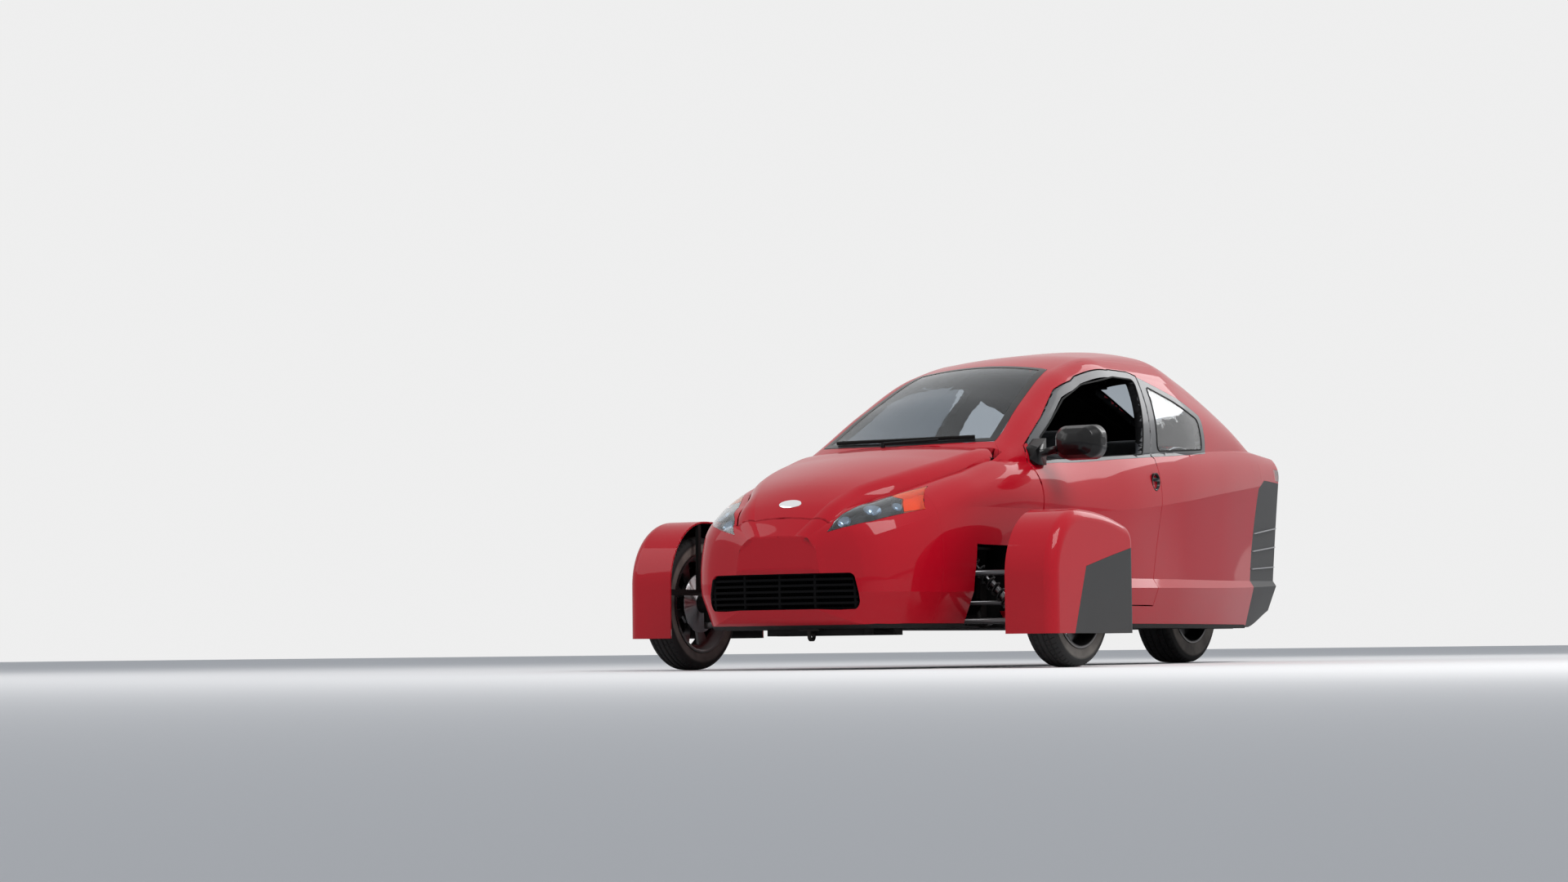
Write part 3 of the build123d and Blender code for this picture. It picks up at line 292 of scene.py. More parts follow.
rubber = {
    # wall: the pale colour of the side wall's band, dust and a painted highlight
    "colour": (0.010, 0.010, 0.011), "rough": 0.75, "gloss": 0.25, "wall": (0.30, 0.27, 0.24),
    "dust": (0.09, 0.085, 0.08), "dustReach": 0.9, "dustAmount": 0.3, "dustRough": 0.95, "clouds": 0.15,
    "patchScale": 11, "patchDetail": 5, "grainScale": 420.0, "bump": (0.35, 0.0006),
}


# Black rubber: black x (1 - share) + wall x share, where share is the attribute on the side wall's band x
# patches of noise; the pale wall colour is dust and a painted highlight on the side wall
def makeTyreRubber():
    material, tree, shader = newMaterial("tyreRubber")
    dustedColour(tree, shader, rubber["colour"], rubber["rough"], rubber)
    shader.inputs["Specular IOR Level"].default_value = rubber["gloss"]
    wall = tree.nodes.new("ShaderNodeAttribute")
    wall.attribute_name = "wallDustAndHighlight"
    patches = noiseNode(tree, rubber["patchScale"], rubber["patchDetail"])
    share = mathNode(tree, "MULTIPLY", wall.outputs["Fac"], patches)
    black = shader.inputs["Base Color"].links[0].from_socket
    tree.links.new(mixColours(tree, black, (*rubber["wall"], 1), share), shader.inputs["Base Color"])
    addBump(tree, shader, placeGroup(tree, grainGroup, Scale=rubber["grainScale"]), *rubber["bump"])
    return material


redPaint = makePaint()
greyTrim = makePlastic("greyTrim", (0.028, 0.029, 0.030), 0.55, 0.25, 700.0, dustAmount=0.2)
pillarGrey = makePlastic("pillarGrey", (0.048, 0.050, 0.055), 0.36, 0.05, 900.0, coat=0.2, dustAmount=0.1)
slatGrey = makePlastic("slatGrey", (0.30, 0.30, 0.31), 0.35, 0.05, 900.0, dustAmount=0.1)
blackPlastic = makePlastic("blackPlastic", (0.006, 0.006, 0.0065), 0.6, 0.3, 800.0, dustAmount=0.15, gloss=0.15)
meshBlack = makePlastic("meshBlack", (0.003, 0.003, 0.0035), 0.8, 0.2, 800.0, dustAmount=0.05, gloss=0.05)
glossBlack = makePlastic("glossBlack", (0.003, 0.003, 0.0035), 0.30, 0.02, 900.0, coat=0.25, dustAmount=0.01,
                         gloss=0.15)
screenBlack = makePlastic("screenBlack", (0.004, 0.004, 0.005), 0.3, 0.02, 900.0, dustAmount=0.02, gloss=0.3)
sealRubber = makePlastic("sealRubber", (0.008, 0.008, 0.008), 0.7, 0.2, 900.0, dustAmount=0.1, gloss=0.15)
cabinPlastic = makePlastic("cabinPlastic", (0.005, 0.005, 0.0055), 0.8, 0.4, 600.0, dustAmount=0.0, gloss=0.1)
darkIron = makeMetal("darkIron", (0.03, 0.03, 0.031), 0.6, 0.5)
darkSteel = makeMetal("darkSteel", (0.10, 0.10, 0.105), 0.30)
plainSteel = makeMetal("plainSteel", (0.42, 0.42, 0.43), 0.35)
# dark grey alloy for the rims and the rack: the wheels' dark finish, made darker as painted shade inside the
# pods
wheelAlloy = makeMetal("wheelAlloy", (0.16, 0.16, 0.165), 0.35)
brightMetal = makeMetal("brightMetal", (0.85, 0.86, 0.88), 0.08, 0.02)
lampMetal = makeMetal("lampMetal", (0.20, 0.25, 0.30), 0.22, 0.02)
amberMetal = makePlastic("amberMetal", (0.85, 0.16, 0.02), 0.30, 0.05, 300.0, dustAmount=0.0)
screenGlass = makeGlass("screenGlass", (0.40, 0.45, 0.50), ior=1.25)
doorGlass = makeGlass("doorGlass", (0.30, 0.33, 0.36), ior=1.25)
sideGlass = makeGlass("sideGlass", (0.86, 0.88, 0.90), ior=1.3)
lampGlass = makeGlass("lampGlass", (0.86, 0.91, 0.96))
amberGlass = makeGlass("amberGlass", (1.0, 0.50, 0.22), 0.05)
redGlass = makeGlass("redGlass", (0.70, 0.02, 0.02), 0.05)
seatCloth = makeFabric("seatCloth", (0.020, 0.020, 0.023))
tyreRubber = makeTyreRubber()
print("stage: materials made")


# Section laws: half width and height of each corner in millimetres, by station
lowerBody = {
    "rows": [
        (-700, (150, 235), (178, 290), (182, 330), (182, 385), (172, 440),
         (158, 474), (130, 496), (75, 503), 506),
        (-650, (300, 178), (345, 290), (348, 330), (346, 400), (326, 482),
         (292, 530), (204, 556), (130, 572), 580),
        (-590, (360, 163), (412, 290), (416, 335), (412, 420), (392, 510),
         (350, 562), (232, 603), (165, 630), 640),
        (-480, (415, 155), (464, 290), (470, 340), (470, 440), (448, 543),
         (400, 602), (272, 636), (215, 690), 708),
        (-300, (452, 155), (502, 290), (508, 345), (514, 470), (492, 590),
         (448, 660), (358, 692), (285, 748), 772),
        (-50, (465, 155), (518, 295), (522, 350), (536, 490), (530, 620),
         (504, 708), (412, 756), (355, 808), 834),
        (250, (475, 155), (530, 300), (528, 350), (548, 480), (556, 620),
         (540, 738), (445, 820), (400, 862), 886),
        (600, (485, 155), (548, 310), (532, 352), (556, 480), (574, 620),
         (565, 735), (515, 832), (440, 856), 880),
        (1100, (490, 155), (552, 318), (530, 358), (552, 490), (578, 640),
         (570, 760), (535, 868), (450, 888), 900),
        (1700, (462, 155), (522, 325), (498, 362), (516, 510), (544, 690),
         (536, 810), (500, 908), (420, 925), 935),
        (2300, (400, 155), (450, 332), (428, 366), (442, 530), (470, 750),
         (464, 850), (430, 938), (350, 952), 960),
        (2850, (310, 155), (356, 342), (336, 372), (346, 550), (376, 800),
         (370, 890), (340, 962), (260, 975), 980),
        (3377, (205, 240), (250, 356), (234, 380), (248, 570), (272, 848),
         (266, 915), (240, 955), (170, 962), 966),
    ],
    "names": "sill rocker ledge side crease shoulder edge deck top",
    "segments": ["middle sill", "sill rocker", "rocker ledge", "ledge side crease", "crease shoulder edge",
                 "edge bulge deck", "deck top"],
}
cab = {
    "rows": [
        (0, (400, 600), (412, 700), (406, 735), (395, 755), (380, 764), (365, 768), 776),
        (300, (455, 600), (485, 790), (474, 832), (452, 862), (428, 880), (395, 892), 945),
        (600, (480, 600), (515, 830), (480, 950), (428, 1022), (396, 1048), (352, 1064), 1112),
        (950, (500, 600), (528, 860), (482, 1030), (410, 1168), (372, 1205), (312, 1224), 1252),
        (1300, (492, 600), (528, 885), (478, 1080), (402, 1235), (360, 1278), (290, 1302), 1322),
        (1900, (450, 600), (486, 915), (450, 1080), (375, 1225), (325, 1290), (240, 1338), 1372),
        (2250, (390, 600), (434, 935), (410, 1060), (345, 1175), (290, 1240), (215, 1290), 1325),
        (2700, (310, 600), (356, 955), (338, 1030), (300, 1085), (258, 1120), (190, 1145), 1172),
        (3200, (200, 600), (262, 920), (255, 925), (240, 930), (220, 935), (170, 940), 945),
    ],
    "names": "base belt side rail corner roof top",
    "segments": ["base belt", "belt side rail", "rail corner roof", "roof top"],
}
samples = 15  # points along each piece of a section
arch = 0.1  # rise of the arc between edge and deck, as a share of the way between them
batch = 3000  # points worked out at once
far = 9.0  # the distance given to a point that is off the law


def unit(rows, least=1e-15):
    return rows / np.maximum(np.linalg.norm(rows, axis=1), least)[:, None]


# The arc through a, m and b, arrays of points (stations, 2), about the point equally far from all three
def arcThrough(a, m, b):
    ax, ay = a.T
    bx, by = m.T
    cx, cy = b.T
    d = 2 * (ax * (by - cy) + bx * (cy - ay) + cx * (ay - by))
    d = np.where(abs(d) < 1e-12, 1e-12, d)
    ux = ((ax**2 + ay**2) * (by - cy) + (bx**2 + by**2) * (cy - ay) + (cx**2 + cy**2) * (ay - by)) / d
    uy = ((ax**2 + ay**2) * (cx - bx) + (bx**2 + by**2) * (ax - cx) + (cx**2 + cy**2) * (bx - ax)) / d
    first, mid, last = (np.arctan2(p[:, 1] - uy, p[:, 0] - ux) for p in (a, m, b))
    toMid = np.mod(mid - first + np.pi, 2 * np.pi) - np.pi
    toLast = toMid + np.mod(last - mid + np.pi, 2 * np.pi) - np.pi
    radius = np.hypot(ax - ux, ay - uy)
    angle = first[:, None] + toLast[:, None] * np.linspace(0, 1, samples)[None, :]
    return np.stack([ux[:, None] + radius[:, None] * np.cos(angle),
                     uy[:, None] + radius[:, None] * np.sin(angle)], -1)


# The section law: points along each section, and slopes along the car that are the weighted harmonic mean of
# the rises before and behind, so that they never overshoot
def makeLaw(shape):
    rows = shape["rows"]
    names = shape["names"].split()
    stations = np.array([r[0] for r in rows]) / 1000
    corners = {n: np.array([r[k + 1] for r in rows], float) / 1000 for k, n in enumerate(names[:-1])}
    tops = np.array([r[-1] for r in rows]) / 1000
    corners["top"] = np.stack([np.zeros_like(tops), tops], -1)
    if "sill" in corners:
        corners["middle"] = corners["sill"] * (0, 1)
        edge, deck = corners["edge"], corners["deck"]
        corners["bulge"] = (edge + deck) / 2 + arch * np.linalg.norm(edge - deck, axis=1)[:, None]
    pieces = []
    for segment in shape["segments"]:
        way = [corners[n] for n in segment.split()]
        if segment.endswith("top"):  # half of the arc that spans the car
            whole = arcThrough(way[0], way[1], way[0] * (-1, 1))
            even = np.linspace(0, samples - 1, 2 * samples - 1)
            half = np.stack([[np.interp(even[:samples], np.arange(samples), row[:, k]) for row in whole]
                             for k in (0, 1)], -1)
            pieces.append(half)
        elif len(way) == 3:
            pieces.append(arcThrough(*way))
        else:
            t = np.linspace(0, 1, samples)[None, :, None]
            pieces.append(way[0][:, None] * (1 - t) + way[1][:, None] * t)
    points = np.concatenate(pieces, 1)
    gap = np.diff(stations)[:, None, None]
    rise = np.diff(points, axis=0) / gap
    slopes = np.zeros_like(points)
    before, after = rise[:-1], rise[1:]
    w1, w2 = 2 * gap[1:] + gap[:-1], gap[1:] + 2 * gap[:-1]
    with np.errstate(divide="ignore", invalid="ignore"):
        mean = (w1 + w2) / (w1 / before + w2 / after)
    slopes[1:-1] = np.where(before * after > 0, mean, 0)
    slopes[0], slopes[-1] = rise[0], rise[-1]
    tangents = np.concatenate([np.gradient(p, axis=1) for p in pieces], 1)
    return {"stations": stations, "points": points, "slopes": slopes, "tangents": tangents,
            "count": len(pieces)}


laws = lowerLaw, cabLaw = makeLaw(lowerBody), makeLaw(cab)


# The nearest place on the straight law: between stations i and i + 1 by t, between points j and j + 1 by f
def findOnLaw(law, s, x, z):
    n = law["stations"]
    i = np.clip(np.searchsorted(n, s) - 1, 0, len(n) - 2)
    step = n[i + 1] - n[i]
    t = np.clip((s - n[i]) / step, 0, 1)
    outside = (s < n[0] - 1e-4) | (s > n[-1] + 1e-4)
    starts = np.concatenate([np.arange(samples - 1) + k * samples for k in range(law["count"])])
    best, bestJ, bestF = np.full(len(s), far), np.zeros(len(s), int), np.zeros(len(s))
    for low in range(0, len(s), batch):
        c = slice(low, low + batch)
        share = t[c][:, None, None]
        ruled = law["points"][i[c]] * (1 - share) + law["points"][i[c] + 1] * share
        a, b = ruled[:, starts], ruled[:, starts + 1]
        p = np.stack([x[c], z[c]], -1)[:, None]
        run = b - a
        f = np.clip(((p - a) * run).sum(-1) / np.maximum((run**2).sum(-1), 1e-14), 0, 1)
        gap = np.linalg.norm(p - a - run * f[..., None], axis=-1)
        j = gap.argmin(1)
        rows = np.arange(len(j))
        best[c], bestJ[c], bestF[c] = gap[rows, j], starts[j], f[rows, j]
    best[outside] = far
    return {"i": i, "t": t, "step": step, "j": bestJ, "f": bestF, "gap": best}


# The straight point p0 (1 - t) + p1 t, the smooth point by the cubic through both with their slopes, and the
# outward normal, which is square to the law's run across and along the car
def lawAt(law, at):
    i, t, h, j, f = at["i"], at["t"][:, None], at["step"][:, None], at["j"], at["f"][:, None]
    h00, h10, h01, h11 = 2 * t**3 - 3 * t**2 + 1, t**3 - 2 * t**2 + t, -2 * t**3 + 3 * t**2, t**3 - t**2
    d00, d10, d01, d11 = 6 * t**2 - 6 * t, 3 * t**2 - 4 * t + 1, -6 * t**2 + 6 * t, 3 * t**2 - 2 * t
    ruled, smooth, along, across = 0, 0, 0, 0
    for k, weight in ((j, 1 - f), (j + 1, f)):
        p0, p1 = law["points"][i, k], law["points"][i + 1, k]
        m0, m1 = law["slopes"][i, k] * h, law["slopes"][i + 1, k] * h
        ruled = ruled + weight * (p0 * (1 - t) + p1 * t)
        smooth = smooth + weight * (h00 * p0 + h10 * m0 + h01 * p1 + h11 * m1)
        along = along + weight * (d00 * p0 + d10 * m0 + d01 * p1 + d11 * m1) / h
        across = across + weight * (law["tangents"][i, k] * (1 - t) + law["tangents"][i + 1, k] * t)
    rise = across[:, 0] * along[:, 1] - across[:, 1] * along[:, 0]
    return ruled, smooth, unit(np.stack([across[:, 1], rise, -across[:, 0]], -1), 1e-9)


skin = {
    "merge": 2e-5, "strip": 0.035, "cell": 0.055, "cutShift": 0.0003,  # the copy and its cuts
    "snap": 0.0022, "deep": 0.05, "fade": 0.06, "hinge": 0.022,  # what moves to the smooth law
    "facing": 0.75, "sharp": 32,  # what takes the law's normals
    "inner": 0.025, "reveal": 0.008, "behind": 0.06, "inward": -0.3,  # what is dark inside
    "endFacing": 0.2, "noseEnd": -0.62, "tailEnd": 3.33, "paneEnd": 1.48,
}
skins = {}  # the arrays of each finished skin, for what is fitted to it


def coords(mesh):
    co = np.zeros(len(mesh.vertices) * 3, np.float32)
    mesh.vertices.foreach_get("co", co)
    return co.reshape(-1, 3).astype(float)


def triangles(mesh):
    tris = np.zeros(len(mesh.polygons) * 3, int)
    mesh.polygons.foreach_get("vertices", tris)
    return tris.reshape(-1, 3)


def flatNormals(co, tris):
    return unit(np.cross(co[tris[:, 1]] - co[tris[:, 0]], co[tris[:, 2]] - co[tris[:, 0]]))


def mergedCopy(nodeName, sliceY=0.0, sliceXZ=0.0):  # cut by planes at even steps along each axis
    bm = bmesh.new()
    bm.from_mesh(nodes[nodeName].data)
    bmesh.ops.remove_doubles(bm, verts=bm.verts, dist=skin["merge"])
    low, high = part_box(nodeName)
    for axis, step in ((1, sliceY), (0, sliceXZ), (2, sliceXZ)):
        if not step:
            continue
        normal = [0, 0, 0]
        normal[axis] = 1
        for k in range(math.ceil(low[axis] / step), math.floor(high[axis] / step) + 1):
            point = [0, 0, 0]
            point[axis] = k * step + skin["cutShift"]
            bmesh.ops.bisect_plane(bm, geom=bm.verts[:] + bm.edges[:] + bm.faces[:], dist=1e-6,
                                   plane_co=point, plane_no=normal)
    bmesh.ops.triangulate(bm, faces=bm.faces)
    mesh = bpy.data.meshes.new(nodeName + "Skin")
    bm.to_mesh(mesh)
    bm.free()
    return mesh


def finishMesh(mesh, name, material, body, replaces=(), sharp=30, normals=None, second=None):
    obj = bpy.data.objects.new(name, mesh)
    bpy.context.collection.objects.link(obj)
    mesh.materials.append(material)
    if second:
        mesh.materials.append(second)
    mesh.polygons.foreach_set("use_smooth", np.ones(len(mesh.polygons), bool))
    mesh.set_sharp_from_angle(angle=math.radians(sharp))
    if normals is not None:
        mesh.normals_split_custom_set(normals.tolist())
    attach(obj, body)
    if replaces:
        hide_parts(*replaces)
    return obj


def nearHinge(co):  # |(p - q) x axis| is below the radius, for a hinge's place q
    near = np.zeros(len(co), bool)
    for joint in frame["joints"]:
        if joint["child"] in ("door", "hood", "hatch"):
            axis = np.array(joint["axis"], float) / np.linalg.norm(joint["axis"])
            near |= np.linalg.norm(np.cross(co - np.array(joint["pos_m"]), axis), axis=1) < skin["hinge"]
    return near


# A panel moved from the straight law of the solids to the smooth law: each point shifts by smooth - straight,
# less with its depth, and the outer corners take the law's own normals
def smoothSkin(nodeName, body, material, inner=None):
    mesh = mergedCopy(nodeName, skin["strip"], skin["cell"])
    co = coords(mesh)
    s, x, z = co[:, 1] - frontAxleY, abs(co[:, 0]), co[:, 2]
    side = np.where(co[:, 0] < 0, -1.0, 1.0)
    found = [findOnLaw(law, s, x, z) for law in laws]
    made = [lawAt(law, at) for law, at in zip(laws, found)]
    gaps = np.stack([at["gap"] for at in found], -1)
    nearest = gaps.min(1)
    weight = 1 / np.maximum(gaps, 1e-4) ** 2
    weight /= weight.sum(1, keepdims=True)
    shift = sum(weight[:, k, None] * (made[k][1] - made[k][0]) for k in (0, 1))
    fade = np.clip(1 - (nearest - skin["deep"]) / skin["fade"], 0, 1)[:, None]
    fade[nearHinge(co)] = 0  # knuckles and pins stay round each other as the joint turns
    moved = np.stack([x, z], -1) + shift * fade
    for k in (0, 1):
        onSkin = (gaps[:, k] < skin["snap"]) & (gaps[:, k] <= gaps[:, 1 - k])
        moved[onSkin] = made[k][1][onSkin]
    out = np.stack([moved[:, 0] * side, co[:, 1], moved[:, 1]], -1)
    out[abs(co[:, 0]) < 1e-6, 0] = 0
    mesh.vertices.foreach_set("co", out.astype(np.float32).ravel())
    # corner normals on the outer skin, by the segment that the face's middle lies on
    tris = triangles(mesh)
    centre = co[tris].mean(1)
    ahead, mirrored = centre[:, 1] - frontAxleY, np.where(centre[:, 0] < 0, -1, 1)
    onFace = [findOnLaw(law, ahead, abs(centre[:, 0]), centre[:, 2]) for law in laws]
    normals = np.zeros((len(tris), 3, 3))
    depth = np.minimum(onFace[0]["gap"], onFace[1]["gap"])
    flat = flatNormals(co, tris)
    for k, law in enumerate(laws):
        mine = (gaps[tris, k].max(1) < skin["snap"]) & (onFace[k]["gap"] <= onFace[1 - k]["gap"] + 1e-5)
        segment = onFace[k]["j"] // samples
        for corner in range(3):
            v = tris[:, corner]
            at = {key: found[k][key][v].copy() for key in found[k]}
            lowest, highest = segment * samples, segment * samples + samples - 1
            before, after = at["j"] < lowest, at["j"] >= highest
            at["f"] = np.where(before, 0.0, np.where(after, 1.0, at["f"]))
            at["j"] = np.clip(at["j"], lowest, highest - 1)
            normal = lawAt(law, at)[2]
            normal[:, 0] *= mirrored
            faces = mine & ((normal * flat).sum(1) > skin["facing"])
            normals[faces, corner] = normal[faces]
    complete = (abs(normals).sum(2) > 0).all(1)
    normals[~complete] = 0
    skins[nodeName] = {"points": out, "faces": tris, "outer": complete, "normals": normals}
    if inner:  # dark edges round the windows; the door's edges and the ends of nose and tail stay painted
        upper = onFace[1]["gap"] < onFace[0]["gap"]
        inside = (depth > np.where(upper, skin["reveal"], skin["inner"])) & ~complete
        for k, law in enumerate(laws):
            away = lawAt(law, onFace[k])[2]
            away[:, 0] *= mirrored
            inward = (away * flat).sum(1) < skin["inward"]
            inside |= inward & (onFace[k]["gap"] < skin["behind"]) & ~complete
        inside &= ~((flat[:, 1] < -skin["endFacing"]) & (ahead < skin["noseEnd"]))
        inside &= ~((flat[:, 1] > skin["endFacing"]) & (ahead > skin["tailEnd"]))
        mesh.polygons.foreach_set("material_index", inside.astype(np.int32))
    mesh.update()
    return finishMesh(mesh, nodeName + "Skin", material, body, (nodeName,), skin["sharp"],
                      normals.reshape(-1, 3), inner)


panels = [
    ("hood", "hood", redPaint, "body_paint", blackPlastic),
    ("nose_fascia", "car", redPaint, "body_paint", blackPlastic),
    ("cowl_panel", "car", redPaint, "body_paint", blackPlastic),
    ("roof_panel", "car", redPaint, "body_paint", cabinPlastic),
    ("body_side_left", "car", redPaint, "body_paint", cabinPlastic),
    ("body_side_right", "car", redPaint, "body_paint", cabinPlastic),
    ("tail_panel", "car", redPaint, "body_paint", cabinPlastic),
    ("hatch_lid", "hatch", redPaint, "body_paint", cabinPlastic),
    ("door_shell", "door", redPaint, "body_paint", cabinPlastic),
    ("door_window_frame", "door", pillarGrey, "trim_grey", cabinPlastic),
    ("window_trims", "car", pillarGrey, "trim_grey", cabinPlastic),
    ("tail_trim", "car", greyTrim, "trim_grey", cabinPlastic),
    ("windshield", "car", screenGlass, "glass", None),
    ("rear_glass", "hatch", screenGlass, "glass", None),
    ("side_windows", "car", sideGlass, "glass", None),
    ("floor_pan", "car", blackPlastic, "black_plastic", None),
    ("tail_lamps", "car", redGlass, "red_lamp", None),
]
for name, body, material, slotName, inner in panels:
    made = smoothSkin(name, body, material, inner)
    if name == "side_windows":  # the pane opposite the door is darker
        made.data.materials.append(doorGlass)
        middle = skins[name]["points"][skins[name]["faces"]].mean(1)
        opposite = (middle[:, 0] < 0) & (middle[:, 1] - frontAxleY < skin["paneEnd"])
        made.data.polygons.foreach_set("material_index", opposite.astype(np.int32))
print("stage: body skins made")


# Pods: the solids' mesh with the normals of their rounded form
podForm = {
    "outer": 0.958, "bottom": 0.128, "top": 0.600, "front": -0.300, "rear": 0.395,
    "edge": 0.048, "frontRadius": 0.260, "fall": 15.0, "reach": 0.380, "past": 0.1,
    "cell": 0.02, "snapFlat": 0.0006, "snapRound": 0.0016, "facing": 0.7,
}


# The pod's side view as points and outward normals: front line, three arcs and the rear line
def podOutline(count=80):
    p = podForm
    front, rear, top, radius = p["front"] + frontAxleY, p["rear"] + frontAxleY, p["top"], p["frontRadius"]
    fall = math.radians(p["fall"])
    crownY, crown = front + radius, p["reach"] / math.sin(fall)
    shoulder = np.array([crownY + p["reach"], top - crown * (1 - math.cos(fall))])
    small = (rear - shoulder[0]) / (1 - math.sin(fall))
    centre = np.array([rear - small, shoulder[1] - small * math.cos(fall)])

    def arc(cy, cz, r, first, last):
        a = np.linspace(first, last, count)
        n = np.stack([np.cos(a), np.sin(a)], -1)
        return np.array([cy, cz]) + r * n, n

    def line(y, low, high, n):
        z = np.linspace(low, high, count)
        return np.stack([np.full(count, y), z], -1), np.tile(n, (count, 1))

    half = math.pi / 2
    pieces = [line(front, p["bottom"] - p["past"], top - radius, (-1.0, 0.0)),
              arc(crownY, top - radius, radius, math.pi, half),
              arc(crownY, top - crown, crown, half, half - fall),
              arc(centre[0], centre[1], small, half - fall, 0),
              line(rear, centre[1], p["bottom"] - p["past"], (1.0, 0.0))]
    return np.concatenate([a for a, b in pieces]), np.concatenate([b for a, b in pieces])


outlinePoints, outlineNormals = podOutline()


# A pod's panel: the rounded edge's normal leans by the angle whose tangent is (x - flat) / (edge - gap)
def podSkin(nodeName, body, material, sign):
    p, e = podForm, podForm["edge"]
    mesh = mergedCopy(nodeName, p["cell"], p["cell"])
    co, tris = coords(mesh), triangles(mesh)
    x, yz = co[:, 0] * sign, co[:, 1:]
    which = np.zeros(len(co), int)
    for low in range(0, len(co), batch):
        c = slice(low, low + batch)
        which[c] = np.linalg.norm(yz[c, None] - outlinePoints[None], axis=-1).argmin(1)
    n = outlineNormals[which]
    gap = -((yz - outlinePoints[which]) * n).sum(1)
    past = np.maximum(x - (p["outer"] - e), 0)
    angle = np.arctan2(past, np.maximum(e - gap, 1e-9))
    normal = np.concatenate([(np.sin(angle) * sign)[:, None], n * np.cos(angle)[:, None]], 1)
    reach = np.hypot(past, np.maximum(e - gap, 0))
    onSkin = np.where(gap > e, abs(x - p["outer"]) < p["snapFlat"], abs(reach - e) < p["snapRound"])
    flat = flatNormals(co, tris)
    corners = normal[tris]
    good = onSkin[tris].all(1) & ((corners * flat[:, None]).sum(2) > p["facing"]).all(1)
    # the faces turned into the pod take black plastic: a liner, and painted shade inside the pod
    inward = (normal[tris].mean(1) * flat).sum(1) < skin["inward"]
    corners[~good] = 0
    mesh.polygons.foreach_set("material_index", inward.astype(np.int32))
    mesh.update()
    return finishMesh(mesh, nodeName + "Skin", material, body, (nodeName,), skin["sharp"],
                      corners.reshape(-1, 3), blackPlastic)


for word, sign in (("left", 1), ("right", -1)):
    podSkin("pod_" + word, "knuckle_" + word, redPaint, sign)
    podSkin("pod_insert_" + word, "knuckle_" + word, greyTrim, sign)
print("stage: pods made")


# Plain nodes: merged copies shaded smooth up to an angle
plainSharp = 34
plainNodes = [
    ("subframe", "car", darkIron, "iron"), ("engine_block", "car", darkIron, "iron"),
    ("bulkheads", "car", blackPlastic, "black_plastic"),
    ("rear_wheelhouse", "car", blackPlastic, "black_plastic"),
    ("grille", "car", meshBlack, "black_plastic"), ("wishbones", "car", darkSteel, "steel"),
    ("rack_housing", "car", wheelAlloy, "alloy"), ("tow_bracket", "car", darkIron, "iron"),
    ("swing_arm", "car", darkIron, "steel"), ("rear_dampers", "car", plainSteel, "steel"),
    ("dashboard", "car", cabinPlastic, "black_plastic"), ("door_handle", "door", glossBlack, "black_plastic"),
    ("mirror", "door", glossBlack, "black_gloss"), ("tie_rods", "rack", darkSteel, "steel"),
    ("steering_wheel", "steering_wheel", cabinPlastic, "black_plastic"),
    ("wiper", "car", blackPlastic, "black_plastic"),
    # the knuckles, the left hub and the rims are dark metal, partly as painted shade inside the pods
    ("knuckle_left", "knuckle_left", darkIron, "iron"), ("knuckle_right", "knuckle_right", darkIron, "iron"),
    ("hub_left", "wheel_left", darkSteel, "steel"), ("hub_right", "wheel_right", plainSteel, "steel"),
    ("rim_left", "wheel_left", wheelAlloy, "alloy"), ("rim_right", "wheel_right", wheelAlloy, "alloy"),
    ("rear_hub", "wheel_rear", darkSteel, "steel"), ("rear_rim", "wheel_rear", wheelAlloy, "alloy"),
]
for name, body, material, slotName in plainNodes:
    finishMesh(mergedCopy(name), name + "Dressed", material, body, (name,), plainSharp)
print("stage: plain nodes dressed")


def gridMesh(name, points, closeU=False, closeV=False):  # quads over an array of points (u, v, 3)
    nu, nv = points.shape[:2]
    u, v = np.meshgrid(np.arange(nu - (not closeU)), np.arange(nv - (not closeV)), indexing="ij")
    a, b = u.ravel(), v.ravel()
    a2, b2 = (a + 1) % nu, (b + 1) % nv
    faces = np.stack([a * nv + b, a2 * nv + b, a2 * nv + b2, a * nv + b2], -1)
    mesh = bpy.data.meshes.new(name)
    mesh.from_pydata(points.reshape(-1, 3).tolist(), [], faces.tolist())
    mesh.update()
    return mesh


def outward(mesh, capped=False):  # doubles merged and normals turned outwards, open ends closed first
    bm = bmesh.new()
    bm.from_mesh(mesh)
    if capped:
        bmesh.ops.holes_fill(bm, edges=[e for e in bm.edges if e.is_boundary])
    bmesh.ops.remove_doubles(bm, verts=bm.verts, dist=1e-6)
    bmesh.ops.recalc_face_normals(bm, faces=bm.faces)
    bm.to_mesh(mesh)
    bm.free()
    return mesh


sides = ((1, "Left"), (-1, "Right"))


# Trim that follows the body: bars of a rectangular section carried along paths on the smooth law
search = {"top": 1.4, "side": 0.5, "rounds": 6, "steepest": 0.2}


# The law's smooth point and outward normal nearest to (x, z) in the section at station s, in metres
def surfacePoint(law, s, x, z):
    s, x, z = np.broadcast_arrays(np.asarray(s, float), np.asarray(x, float), np.asarray(z, float))
    side = np.where(x < 0, -1.0, 1.0)
    smooth, normal = lawAt(law, findOnLaw(law, s, abs(x), z))[1:]
    one = np.ones_like(side)
    point = np.stack([smooth[:, 0] * side, s + frontAxleY, smooth[:, 1]], -1)
    return point, normal * np.stack([side, one, one], -1)


# The law's highest point over (x, s): z moves down the slope, z - dx nx / nz, and is projected again
def surfaceAbove(law, s, x):
    z = np.full(len(s), search["top"])
    for _ in range(search["rounds"]):
        point, normal = surfacePoint(law, s, x, z)
        fall = (abs(x) - abs(point[:, 0])) * np.where(x < 0, -1, 1) * normal[:, 0]
        z = point[:, 2] - fall / np.maximum(normal[:, 2], search["steepest"])
    point[:, 0], point[:, 2] = x, z
    return point, normal


